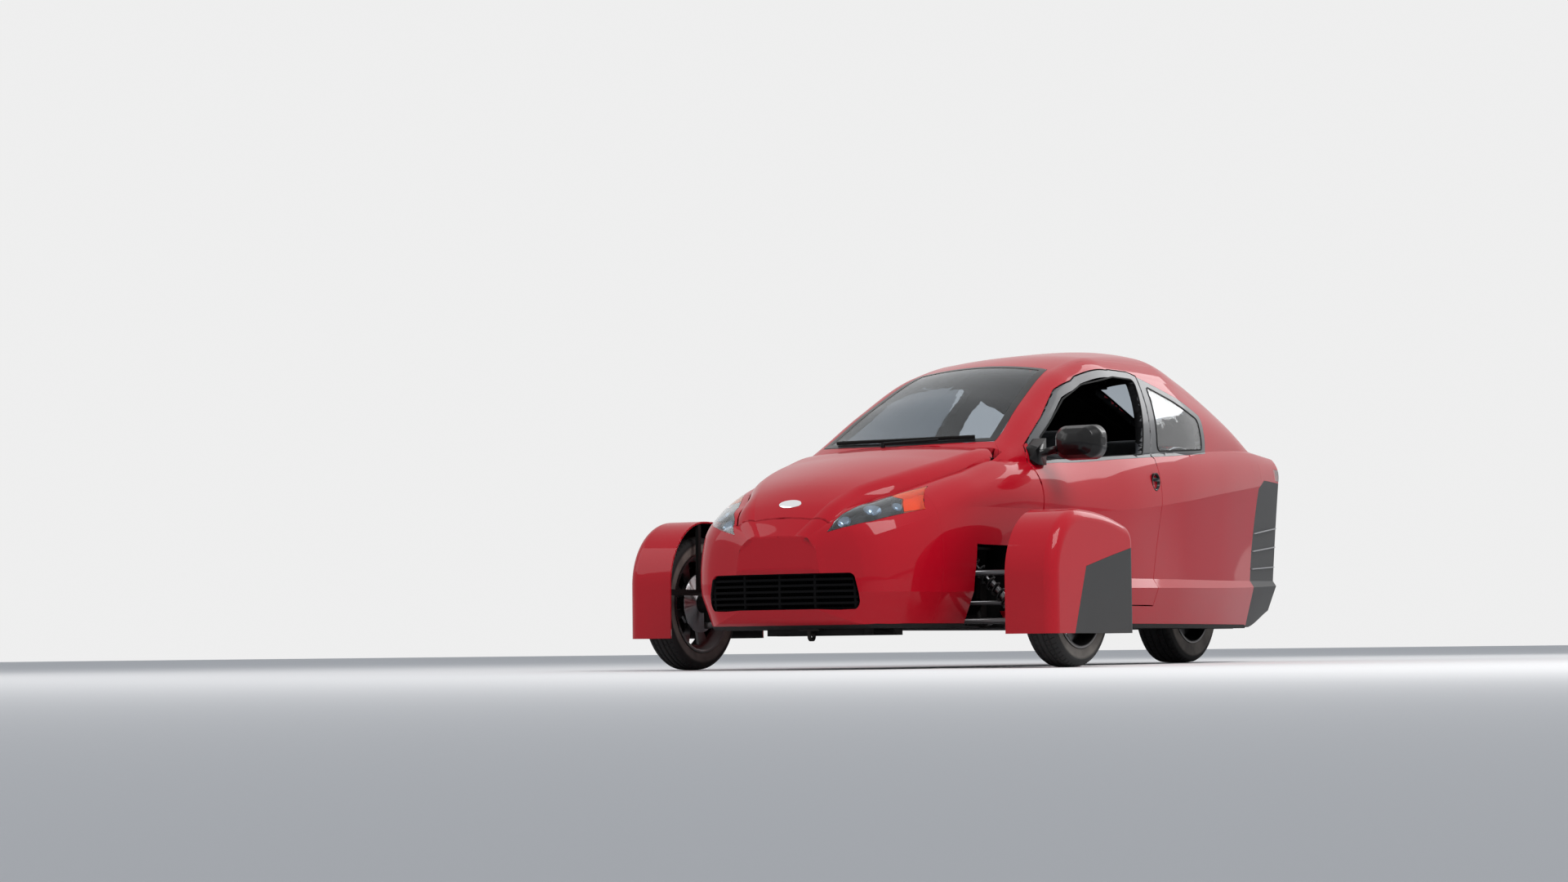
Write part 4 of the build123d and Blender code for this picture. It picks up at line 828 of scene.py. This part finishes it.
# The law's point on one side at height z: x moves down the slope, x - dz nz / nx, and is projected again
def surfaceBeside(law, s, sign, z):
    x = np.full(len(s), search["side"] * sign)
    for _ in range(search["rounds"]):
        point, normal = surfacePoint(law, s, x, z)
        fall = (z - point[:, 2]) * normal[:, 2]
        x = point[:, 0] - fall / (sign * np.maximum(abs(normal[:, 0]), search["steepest"]))
    point[:, 0], point[:, 2] = x, z
    return point, normal


def evenPath(corners, step):  # evenly spaced points on straight runs between corners, as (n, 2)
    corners = np.array(corners, float)
    length = np.concatenate([[0], np.cumsum(np.linalg.norm(np.diff(corners, axis=0), axis=1))])
    at = np.linspace(0, length[-1], max(2, int(length[-1] / step) + 1))
    return np.stack([np.interp(at, length, corners[:, k]) for k in (0, 1)], -1)


# A closed path that turns each corner b by a (1 - w)^2 + 2 b w (1 - w) + c w^2 between its tangent points,
# which lie no further along a side than its share, nor than the least half angle asks
def roundedPath(corners, radius, step, share=0.45, least=0.2, points=7):
    corners = np.array(corners, float)
    n = len(corners)
    rows = []
    for k in range(n):
        a, b, c = corners[(k - 1) % n], corners[k], corners[(k + 1) % n]
        into, out = (a - b) / np.linalg.norm(a - b), (c - b) / np.linalg.norm(c - b)
        reach = radius / math.tan(max(math.acos(np.clip((into * out).sum(), -1, 1)) / 2, least))
        reach = min(reach, share * np.linalg.norm(a - b), share * np.linalg.norm(c - b))
        w = np.linspace(0, 1, points)[:, None]
        rows.append((b + into * reach) * (1 - w) ** 2 + 2 * b * w * (1 - w) + (b + out * reach) * w**2)
    return evenPath(np.concatenate(rows + [rows[0][:1]]), step)


# A bar with bevelled upper edges: each section stands on its surface point, its width along the surface
def barMesh(name, centre, normal, width, sunk, proud, closed=False, bevel=0.8):
    run = np.gradient(centre, axis=0)
    if closed:
        centre, normal = centre[:-1], normal[:-1]
        run = np.roll(centre, -1, 0) - np.roll(centre, 1, 0)
    across = unit(np.cross(unit(run), normal))
    half = width / 2
    corners = [(-1, -sunk), (-1, proud * bevel), (-bevel, proud), (bevel, proud), (1, proud * bevel),
               (1, -sunk)]
    points = np.stack([centre + across * (half * a) + normal * b for a, b in corners], 1)
    return outward(gridMesh(name, points, closeU=closed, closeV=True), not closed)


def joinMeshes(name, meshes):
    bm = bmesh.new()
    for mesh in meshes:
        bm.from_mesh(mesh)
    whole = bpy.data.meshes.new(name)
    bm.to_mesh(whole)
    bm.free()
    return whole


# Window seals and the screen's black border
glazing = {
    "border": 0.030, "proud": 0.0012, "overlap": 0.002, "step": 0.012, "sunk": 0.001,
    "seal": 0.007, "sealProud": 0.0022, "sealStep": 0.010,
    "screenBase": (0.395, 0.300, 0.190), "screenTop": (0.302, 0.950), "screenHalf": 0.4,
    "window": [(0.520, 0.824), (0.520, 0.915), (0.625, 0.975), (0.815, 1.088), (1.010, 1.160), (1.322, 1.212),
               (1.545, 1.214), (1.365, 0.881)],
    "quarter": [(1.530, 0.903), (1.650, 1.190), (1.880, 1.142), (2.150, 1.075), (2.118, 0.938)],
    "rear": [(0.190, 2.345), (0.172, 2.760), (-0.172, 2.760), (-0.190, 2.345)], "rearBorder": 0.016,
    "radius": {"window": 0.024, "quarter": 0.026, "rear": 0.045},
}


def arcAcross(halfWidth, endS, middleS, count=41):  # s = middle + R - sqrt(R^2 - x^2)
    rise = endS - middleS
    radius = (halfWidth**2 + rise**2) / (2 * rise)
    x = np.linspace(halfWidth, -halfWidth, count)
    return np.stack([x, middleS + radius - np.sqrt(radius**2 - x**2)], -1)


def planBar(name, way, width, proud, closed, shift=0.0):  # on the cab's top, along a path of (x, s)
    points, normal = surfaceAbove(cabLaw, way[:, 1], way[:, 0])
    return barMesh(name, points + normal * shift, normal, width, glazing["sunk"], proud, closed)


def sideBar(name, way, sign, width, proud):  # on the cab's side, round a closed path of (s, z)
    points, normal = surfaceBeside(cabLaw, way[:, 0], sign, way[:, 1])
    return barMesh(name, points, normal, width, glazing["sunk"], proud, True)


def makeSeals():
    g = glazing
    base = arcAcross(*g["screenBase"])
    inset = g["border"] / 2 - g["overlap"]
    topX, topS = g["screenTop"]
    loop = np.concatenate([base * ((1 - inset / g["screenHalf"]), 1) + (0, inset),
                           [(-topX + inset, topS - inset), (topX - inset, topS - inset)]])
    way = evenPath(np.concatenate([loop, loop[:1]]), g["step"])
    mesh = planBar("screenBorder", way, g["border"], g["proud"], True)
    finishMesh(mesh, "screenBorder", screenBlack, "car")
    way = roundedPath(g["rear"], g["radius"]["rear"], g["step"])
    mesh = planBar("rearGlassBorder", way, g["rearBorder"], g["proud"], True)
    finishMesh(mesh, "rearGlassBorder", screenBlack, "hatch")
    for sign, word in sides:
        for kind, body in (("window", "door" if sign > 0 else "car"), ("quarter", "car")):
            name = kind + "Seal" + word
            way = roundedPath(g[kind], g["radius"][kind], g["sealStep"])
            mesh = sideBar(name, way, sign, g["seal"], g["sealProud"])
            finishMesh(mesh, name, sealRubber, body)


makeSeals()
print("stage: seals made")

# Wiper blade, parked along the foot of the screen
wiperBlade = {"shift": 0.030, "reach": 0.33, "width": 0.010, "height": 0.012, "lift": 0.004, "step": 0.010}


def makeWiperBlade():
    g = wiperBlade
    way = arcAcross(*glazing["screenBase"]) + (0, g["shift"])
    way = evenPath(way[abs(way[:, 0]) < g["reach"]], g["step"])
    mesh = planBar("wiperBlade", way, g["width"], g["height"], False, g["lift"])
    finishMesh(mesh, "wiperBlade", sealRubber, "car")


makeWiperBlade()

# Blank oval plate on the hood, where the car has one
ovalPlate = {"s": -0.603, "halfWidth": 0.048, "halfLength": 0.017, "dome": 0.0035, "power": 2.2,
             "edge": 0.0018, "skirt": 1.02, "sunk": -0.0005}


# An ellipse of radius r from 0 to 1 and angle a, raised by edge + dome (1 - r^power)
def makeOvalPlate():
    g = ovalPlate
    r = np.concatenate([np.linspace(0, 1, 14), [g["skirt"]]])[:, None]
    a = np.linspace(0, 2 * math.pi, 73)[None, :-1]
    x = g["halfWidth"] * r * np.cos(a)
    s = g["s"] + g["halfLength"] * r * np.sin(a)
    points, normal = surfaceAbove(lowerLaw, s.ravel(), x.ravel())
    lift = g["edge"] + g["dome"] * (1 - np.minimum(r, 1) ** g["power"]) * np.ones_like(a)
    lift[-1] = g["sunk"]
    points = (points + normal * lift.ravel()[:, None]).reshape(*x.shape, 3)
    mesh = outward(gridMesh("ovalPlate", points, closeV=True))
    finishMesh(mesh, "ovalPlate", brightMetal, "hood", (), 50)


makeOvalPlate()

# Slats across the grey tail sides: station and height at their front and rear ends
tailSlats = {"ends": [(2.940, 0.592, 3.360, 0.628), (2.930, 0.510, 3.362, 0.540), (2.925, 0.428, 3.364, 0.446)],
             "thick": 0.005, "proud": 0.007, "sunk": 0.004, "step": 0.01}


def makeTailSlats():
    g = tailSlats
    for sign, word in sides:
        bars = []
        for s1, z1, s2, z2 in g["ends"]:
            way = evenPath([(s1, z1), (s2, z2)], g["step"])
            points, normal = surfaceBeside(lowerLaw, way[:, 0], sign, way[:, 1])
            bars.append(barMesh("slat", points, normal, g["thick"], g["sunk"], g["proud"]))
        name = "tailSlats" + word
        finishMesh(joinMeshes(name, bars), name, slatGrey, "car")


makeTailSlats()

# Woven wire behind the grille's bars and the dark radiator behind it
grilleNet = {"pitch": 0.012, "wire": 0.0024, "half": 0.318, "low": 0.236, "high": 0.354,
             "nose": -0.700, "depth": 0.042, "flat": 0.175, "sweep": 0.32}
radiator = {"half": 0.30, "behind": 0.030, "thick": 0.02, "over": 0.01}


def noseDepth(x):  # a station at one depth behind the nose: flat in the middle, then swept back
    g = grilleNet
    return g["nose"] + g["depth"] + g["sweep"] * np.maximum(0, abs(x) - g["flat"])


def acrossNose(name, x, section):  # a section of (depth, height) carried across the car behind the nose
    wide = np.tile(x[:, None], (1, len(section)))
    deep = noseDepth(x)[:, None] + frontAxleY + section[None, :, 0]
    return gridMesh(name, np.stack([wide, deep, np.tile(section[None, :, 1], (len(x), 1))], -1), closeV=True)


def makeGrilleNet():
    g = grilleNet
    w = g["wire"] / 2
    square = np.array([(-w, -w), (w, -w), (w, w), (-w, w)])
    fine = np.linspace(-g["half"], g["half"], 61)
    bars = [acrossNose("wire", fine, square + (0, height))
            for height in np.arange(g["low"], g["high"], g["pitch"])]
    ends = np.array([g["low"], g["high"]])
    for across in np.arange(-g["half"], g["half"] + 1e-6, g["pitch"]):
        points = np.stack([across + np.tile(square[None, :, 0], (2, 1)),
                           noseDepth(across) + frontAxleY + np.tile(square[None, :, 1], (2, 1)),
                           np.tile(ends[:, None], (1, 4))], -1)
        bars.append(gridMesh("wire", points, closeV=True))
    finishMesh(outward(joinMeshes("grilleNet", bars)), "grilleNet", meshBlack, "car")


def makeRadiator():
    g, near, thick = radiator, radiator["behind"], radiator["thick"]
    low, high = grilleNet["low"] - g["over"], grilleNet["high"] + g["over"]
    section = np.array([(near, low), (near, high), (near + thick, high), (near + thick, low)])
    mesh = outward(acrossNose("radiator", np.linspace(-g["half"], g["half"], 31), section))
    finishMesh(mesh, "radiator", meshBlack, "car")


makeGrilleNet()
makeRadiator()
print("stage: trim made")

# Lamps: a thin cover from each lamp's outer face, and a lined bucket with bowls behind it
lampBuild = {
    "cover": 0.003, "gap": 0.001, "depth": 0.031, "wall": 0.0015, "bowlSunk": 0.009,
    "bowls": [(0.262, 0.556, 0.026, 0.016), (0.330, 0.600, 0.034, 0.021), (0.393, 0.612, 0.024, 0.015)],
}


def outerSheet(nodeName):  # the outer faces of a skin as points, faces and point normals
    data = skins[nodeName]
    faces, corners = data["faces"][data["outer"]], data["normals"][data["outer"]]
    used, index = np.unique(faces, return_inverse=True)
    index = index.reshape(-1, 3)
    normal = np.zeros((len(used), 3))
    np.add.at(normal, index.ravel(), corners.reshape(-1, 3))
    return data["points"][used], index, unit(normal, 1e-9)


def rimEdges(faces):  # the directed edges that only one face has
    edges = np.concatenate([faces[:, (0, 1)], faces[:, (1, 2)], faces[:, (2, 0)]])
    inverse, count = np.unique(np.sort(edges, 1), axis=0, return_inverse=True, return_counts=True)[1:]
    return edges[count[inverse.ravel()] == 1]


# Two copies of a sheet, sunk by top and by bottom, joined by a wall; an open top is a lined bucket
def layeredMesh(name, points, faces, normal, top, bottom, openTop):
    n = len(points)
    upper, lower = points - normal * top, points - normal * bottom
    edges = rimEdges(faces)
    if openTop:
        walls = np.stack([edges[:, 1] + n, edges[:, 0] + n, edges[:, 0], edges[:, 1]], -1)
        sheets = (faces + n).tolist()
    else:
        walls = np.stack([edges[:, 1], edges[:, 0], edges[:, 0] + n, edges[:, 1] + n], -1)
        sheets = faces.tolist() + (faces[:, ::-1] + n).tolist()
    mesh = bpy.data.meshes.new(name)
    mesh.from_pydata(np.concatenate([upper, lower]).tolist(), [], sheets + walls.tolist())
    mesh.update()
    return mesh


bulb = {"radius": 0.27, "edge": 0.265, "height": 1.5}  # as shares of the bowl's radius


# A reflector bowl, sunk by depth (1 - r^2), with a dome sqrt(R^2 - r^2) for a bulb at its middle
def bowlMesh(centre, normal, radius, depth):
    side = np.cross(normal, (0, 0, 1))
    side /= np.linalg.norm(side)
    up = np.cross(side, normal)
    r = np.concatenate([[0, 0.001, 0.12, 0.2, 0.26, 0.27], np.linspace(0.3, 1, 12)])[:, None]
    a = np.linspace(0, 2 * math.pi, 49)[None, :-1]
    dome = np.sqrt(np.maximum(bulb["radius"]**2 - r**2, 0)) * radius * bulb["height"]
    sink = -depth * (1 - r**2) + np.where(r < bulb["edge"], dome, 0)
    ring = np.cos(a)[..., None] * side + np.sin(a)[..., None] * up
    points = centre + radius * r[..., None] * ring + (sink * np.ones_like(a))[..., None] * normal
    return gridMesh("bowl", points, closeV=True)


def makeLampSet(nodeName, glass, lining, word):
    bpy.data.objects.remove(smoothSkin(nodeName, "car", glass))
    sheet, g = outerSheet(nodeName), lampBuild
    cover = layeredMesh(word + "Cover", *sheet, 0.0, g["cover"], False)
    finishMesh(cover, word + "Cover", glass, "car", (nodeName,), 40)
    bucket = layeredMesh(word + "Bucket", *sheet, g["cover"] + g["gap"], g["depth"], True)
    bucket = finishMesh(bucket, word + "Bucket", lining, "car", (nodeName,), 40)
    wall = bucket.modifiers.new("wall", "SOLIDIFY")
    wall.thickness = g["wall"]


makeLampSet("headlamps", lampGlass, screenBlack, "headlamp")
makeLampSet("turn_signals", amberGlass, amberMetal, "turnLamp")


def makeBowls():
    points, _, normal = outerSheet("headlamps")
    for sign, word in sides:
        bowls = []
        for x, z, radius, depth in lampBuild["bowls"]:
            k = int(np.hypot(points[:, 0] - x * sign, points[:, 2] - z).argmin())
            bowls.append(bowlMesh(points[k] - normal[k] * lampBuild["bowlSunk"], normal[k], radius, depth))
        finishMesh(joinMeshes("lampBowls" + word, bowls), "lampBowls" + word, lampMetal, "car", (), 50)


makeBowls()
print("stage: lamps made")

# Mirror glass on the mirror's rear face
mirrorGlass = {"x": 0.700, "s": 0.4762, "z": 0.884, "halfWidth": 0.096, "halfHeight": 0.062, "power": 3.2,
               "thick": 0.0022}


def makeMirrorGlass():  # a plate with a rounded edge, whose rim is |x|^p + |z|^p = 1
    g = mirrorGlass
    a = np.linspace(0, 2 * math.pi, 97)[None, :-1]
    r = np.array([0, 0.5, 0.9, 0.975, 1.0, 1.0])[:, None]
    y = np.array([1, 1, 1, 0.85, 0.5, 0.0])[:, None] * g["thick"]
    x, z = (np.sign(f(a)) * abs(f(a)) ** (2 / g["power"]) * r * g[half] + g[axis]
            for f, half, axis in ((np.cos, "halfWidth", "x"), (np.sin, "halfHeight", "z")))
    points = np.stack([x, g["s"] + frontAxleY + y * np.ones_like(a), z], -1)
    mesh = outward(gridMesh("mirrorGlass", points, closeV=True))
    finishMesh(mesh, "mirrorGlass", brightMetal, "door", (), 40)


makeMirrorGlass()

# Coilovers: a turned damper, as (share of the way, radius), and a real coil spring about it
coilover = {
    "low": (0.640, 0.0, 0.212), "high": (0.432, 0.0, 0.432),
    "turns": 6.5, "spring": 0.0225, "wire": 0.0045, "from": 0.185, "run": 0.665, "points": 240, "sides": 10,
    "damper": [(0.0, 0.0), (0.0, 0.008), (0.02, 0.0118), (0.15, 0.0118), (0.155, 0.027), (0.175, 0.027),
               (0.18, 0.0165), (0.55, 0.0165), (0.56, 0.0155), (0.565, 0.008), (0.85, 0.008), (0.86, 0.027),
               (0.885, 0.027), (0.89, 0.019), (0.99, 0.0165), (1.0, 0.012), (1.0, 0.0)],
}


def ringAxes(run):  # two directions square to a run and to each other
    axis = run / np.linalg.norm(run)
    side = np.cross(axis, (0, 1, 0))
    side /= np.linalg.norm(side)
    return side, np.cross(axis, side)


def turnedAlong(name, low, run, outline, around=36):  # a profile turned about the line low + way x run
    side, other = ringAxes(run)
    way = np.array(outline)
    a = np.linspace(0, 2 * math.pi, around + 1)[None, :-1, None]
    ring = np.cos(a) * side + np.sin(a) * other
    points = low + way[:, 0, None, None] * run + way[:, 1, None, None] * ring
    return outward(gridMesh(name, points, closeV=True))


# A wire carried along low + w run + radius (cos(turn) side + sin(turn) other)
def coilAlong(name, low, run):
    g = coilover
    side, other = ringAxes(run)
    w = np.linspace(0, 1, g["points"])
    turn = 2 * math.pi * g["turns"] * w
    out = np.cos(turn)[:, None] * side + np.sin(turn)[:, None] * other
    spine = low + (g["from"] + g["run"] * w)[:, None] * run + g["spring"] * out
    third = np.cross(unit(np.gradient(spine, axis=0)), out)
    b = np.linspace(0, 2 * math.pi, g["sides"] + 1)[None, :-1, None]
    points = spine[:, None] + g["wire"] * (np.cos(b) * out[:, None] + np.sin(b) * third[:, None])
    return outward(gridMesh(name, points, closeV=True), True)


def makeCoilovers():
    for sign, word in sides:
        low, high = (np.array(coilover[end]) * (sign, 1, 1) + (0, frontAxleY, 0) for end in ("low", "high"))
        damper = turnedAlong("damper" + word, low, high - low, coilover["damper"])
        finishMesh(damper, "damper" + word, darkSteel, "car", ("coilovers",), 40)
        spring = coilAlong("spring" + word, low, high - low)
        finishMesh(spring, "spring" + word, darkIron, "car", ("coilovers",), 50)


makeCoilovers()
print("stage: springs made")

frontTyre = {"x": 0.855, "s": 0.0, "radius": 0.271, "width": 0.125, "blocks": 64}
rearTyre = {"x": 0.0, "s": wheelbase, "radius": 0.290, "width": 0.170, "blocks": 60}
tyreLook = {
    "bead": 0.1955, "grooves": (-0.62, -0.22, 0.22, 0.62), "groove": 0.006, "grooveWidth": 0.0065,
    "grooveSlope": 1.4, "points": 52, "stepsPerBlock": 9,
    "sipe": 0.0035, "sipeShare": 0.16, "sipeFrom": 0.24, "lean": 0.55, "shoulder": 0.010,
    # the side wall's pale band, dust and a painted highlight, fades in above the bead and out below wallTop
    "wallTop": 0.028, "dustAndHighlightIn": 0.008, "dustAndHighlightOut": 0.01,
}


# Half of a tyre's section as (x, radius), from the bead over the side wall to the middle of the tread
def tyreProfile(size):
    half, r = size["width"] / 2, size["radius"]
    wall = (r + 0.200) / 2 + 0.006  # radius at which the side wall is widest
    return np.array([(half - 0.0080, tyreLook["bead"]), (half - 0.0072, 0.2015), (half - 0.0042, 0.2050),
                     (half - 0.0010, wall - 0.008), (half, wall), (half - 0.0010, wall + 0.008),
                     (half - 0.0055, r - 0.0135), (half - 0.0085, r - 0.0095), (half - 0.018, r - 0.0035),
                     (half * 0.55, r - 0.0008), (0, r)])


# Radius by angle and place on the profile: the section's curve less grooves and slanted sipes
def makeTyre(name, size, body, node, sign):
    look = tyreLook
    way = tyreProfile(size)
    length = np.concatenate([[0], np.cumsum(np.linalg.norm(np.diff(way, axis=0), axis=1))])
    at = np.linspace(0, length[-1], look["points"])
    half = np.stack([np.interp(at, length, way[:, k]) for k in (0, 1)], -1)
    profile = np.concatenate([half, (half * (-1, 1))[-2::-1]])
    around = size["blocks"] * look["stepsPerBlock"]
    angle = np.arange(around) * 2 * math.pi / around
    x, r = np.tile(profile[:, 0], (around, 1)), np.tile(profile[:, 1], (around, 1))
    reach = size["width"] / 2 - look["shoulder"]
    tread = abs(x) < reach
    cut = np.zeros_like(x)
    for place in look["grooves"]:
        away = abs(x - place * reach) / (look["grooveWidth"] / 2)
        cut = np.maximum(cut, np.clip(look["grooveSlope"] - away, 0, 1))
    lean = look["lean"] * x / reach
    phase = np.mod(angle[:, None] * size["blocks"] / (2 * math.pi) + lean * np.sign(x), 1)
    sipe = (phase < look["sipeShare"]) * (abs(x) > look["sipeFrom"] * reach) * look["sipe"]
    cut = np.maximum(cut * look["groove"], sipe)
    radius = r - cut * tread
    points = np.stack([x * sign + size["x"] * sign,
                       radius * np.cos(angle)[:, None] + size["s"] + frontAxleY,
                       radius * np.sin(angle)[:, None] + size["radius"]], -1)
    mesh = outward(gridMesh(name, points, closeU=True))
    co = coords(mesh)
    height = np.hypot(co[:, 1] - size["s"] - frontAxleY, co[:, 2] - size["radius"])
    # the side wall's band from the bead to wallTop below the tread: dust and a painted highlight
    low, high = look["bead"], size["radius"] - look["wallTop"]
    dust = np.clip((height - low) / look["dustAndHighlightIn"], 0, 1) * np.clip((high - height) / look["dustAndHighlightOut"], 0, 1)
    mesh.attributes.new("wallDustAndHighlight", "FLOAT", "POINT").data.foreach_set("value", dust.astype(np.float32))
    finishMesh(mesh, name, tyreRubber, body, (node,), 40)


makeTyre("tyreLeftTreaded", frontTyre, "wheel_left", "tyre_left", 1)
makeTyre("tyreRightTreaded", frontTyre, "wheel_right", "tyre_right", -1)
makeTyre("tyreRearTreaded", rearTyre, "wheel_rear", "rear_tyre", 1)
print("stage: tyres made")

seatSize = {"fronts": {"Driver": 0.850, "Passenger": 1.690}, "floor": 0.166}
seatParts = {  # behind the front, above the floor, half sizes, lean, crown and channels
    "Base": (0.235, 0.125, (0.205, 0.235, 0.085), 6, 0.018, (-0.55, 0.55)),
    "Back": (0.530, 0.44, (0.205, 0.300, 0.048), 104, 0.015, (-0.5, 0.5)),
    "Head": (0.622, 0.775, (0.13, 0.066, 0.04), 100, 0.01, ()),
}
padding = {"sides": 0.30, "edges": 0.42, "channel": 0.045, "channelDepth": 0.009}


# A padded form: cosine and sine powers of two angles make a rounded box, with its top crowned by
# 1 - x^2 / 2 - y^2 / 2 and channels pressed in by exp(-((x - c) / width)^2)
def cushion(name, centre, size, lean, crown, channels):
    u = np.linspace(-math.pi / 2, math.pi / 2, 61)[:, None]
    v = np.linspace(-math.pi, math.pi, 121)[None, :-1]

    def power(a, p):
        return np.sign(a) * abs(a) ** p

    belt = power(np.cos(u), padding["edges"])
    x, y = belt * power(np.cos(v), padding["sides"]), belt * power(np.sin(v), padding["sides"])
    z = power(np.sin(u), padding["edges"]) * np.ones_like(v)
    rise = (1 - 0.5 * x**2 - 0.5 * y**2) * crown * np.clip(z, 0, 1)
    groove = sum(np.exp(-((x - c) / padding["channel"]) ** 2) for c in channels) * np.clip(z * 3, 0, 1)
    top = z * size[2] + rise - padding["channelDepth"] * groove
    a = math.radians(lean)
    turn = np.array([[1, 0, 0], [0, math.cos(a), -math.sin(a)], [0, math.sin(a), math.cos(a)]])
    points = np.stack([x * size[0], y * size[1], top], -1) @ turn.T + np.array(centre)
    return outward(gridMesh(name, points, closeV=True))


def makeSeats():
    for word, front in seatSize["fronts"].items():
        for part, (behind, up, size, lean, crown, channels) in seatParts.items():
            centre = (0, front + frontAxleY + behind, seatSize["floor"] + up)
            mesh = cushion("seat" + part + word, centre, size, lean, crown, channels)
            obj = finishMesh(mesh, mesh.name, seatCloth, "car", ("seats",), 60)


makeSeats()
print("stage: seats made")

floorLook = {"size": 90, "colour": (0.78, 0.77, 0.76), "rough": 0.9, "gloss": 0.1}
studio = {"backdrop": (0.86, 0.86, 0.86), "fill": (0.80, 0.86, 0.95), "strength": 0.50}


def makeStage():
    mesh = bpy.data.meshes.new("floor")
    r = floorLook["size"]
    mesh.from_pydata([(-r, -r, 0), (r, -r, 0), (r, r, 0), (-r, r, 0)], [], [(0, 1, 2, 3)])
    obj = bpy.data.objects.new("floor", mesh)
    bpy.context.collection.objects.link(obj)
    material, _, shader = newMaterial("paleFloor")
    shader.inputs["Base Color"].default_value = (*floorLook["colour"], 1)
    shader.inputs["Roughness"].default_value = floorLook["rough"]
    shader.inputs["Specular IOR Level"].default_value = floorLook["gloss"]
    mesh.materials.append(material)


def makeWorld():  # the pale backdrop is seen directly, in shine and through glass, and the fill lights the car
    world = bpy.data.worlds.new("studio")
    bpy.context.scene.world = world
    world.use_nodes = True
    tree = world.node_tree
    tree.nodes.clear()
    out = tree.nodes.new("ShaderNodeOutputWorld")
    mix = tree.nodes.new("ShaderNodeMixShader")
    for k, colour, strength in ((1, studio["fill"], studio["strength"]), (2, studio["backdrop"], 1.0)):
        light = tree.nodes.new("ShaderNodeBackground")
        light.inputs[0].default_value, light.inputs[1].default_value = (*colour, 1), strength
        tree.links.new(light.outputs[0], mix.inputs[k])
    rays = tree.nodes.new("ShaderNodeLightPath")
    either = mathNode(tree, "MAXIMUM", rays.outputs["Is Camera Ray"], rays.outputs["Is Glossy Ray"])
    either = mathNode(tree, "MAXIMUM", either, rays.outputs["Is Transmission Ray"])
    tree.links.new(either, mix.inputs[0])
    tree.links.new(mix.outputs[0], out.inputs[0])


lamps = [
    {"name": "keyLamp", "place": (5.0, -3.0, 6.5), "aim": (0, 0, 0.5), "size": 4.0, "power": 420},
    {"name": "fillLamp", "place": (-6.0, -5.0, 5.0), "aim": (0, 0, 0.5), "size": 5.0, "power": 160},
    {"name": "rearLamp", "place": (2.0, 7.0, 5.0), "aim": (0, 0, 0.6), "size": 4.0, "power": 150},
]


def makeLamps():
    for lamp in lamps:
        data = bpy.data.lights.new(lamp["name"], "AREA")
        data.energy, data.size = lamp["power"], lamp["size"]
        obj = bpy.data.objects.new(lamp["name"], data)
        obj.location = lamp["place"]
        way = Vector(lamp["aim"]) - Vector(lamp["place"])
        obj.rotation_mode = "QUATERNION"
        obj.rotation_quaternion = way.to_track_quat("-Z", "Y")
        bpy.context.collection.objects.link(obj)


makeStage()
makeWorld()
makeLamps()
print("stage: studio made")
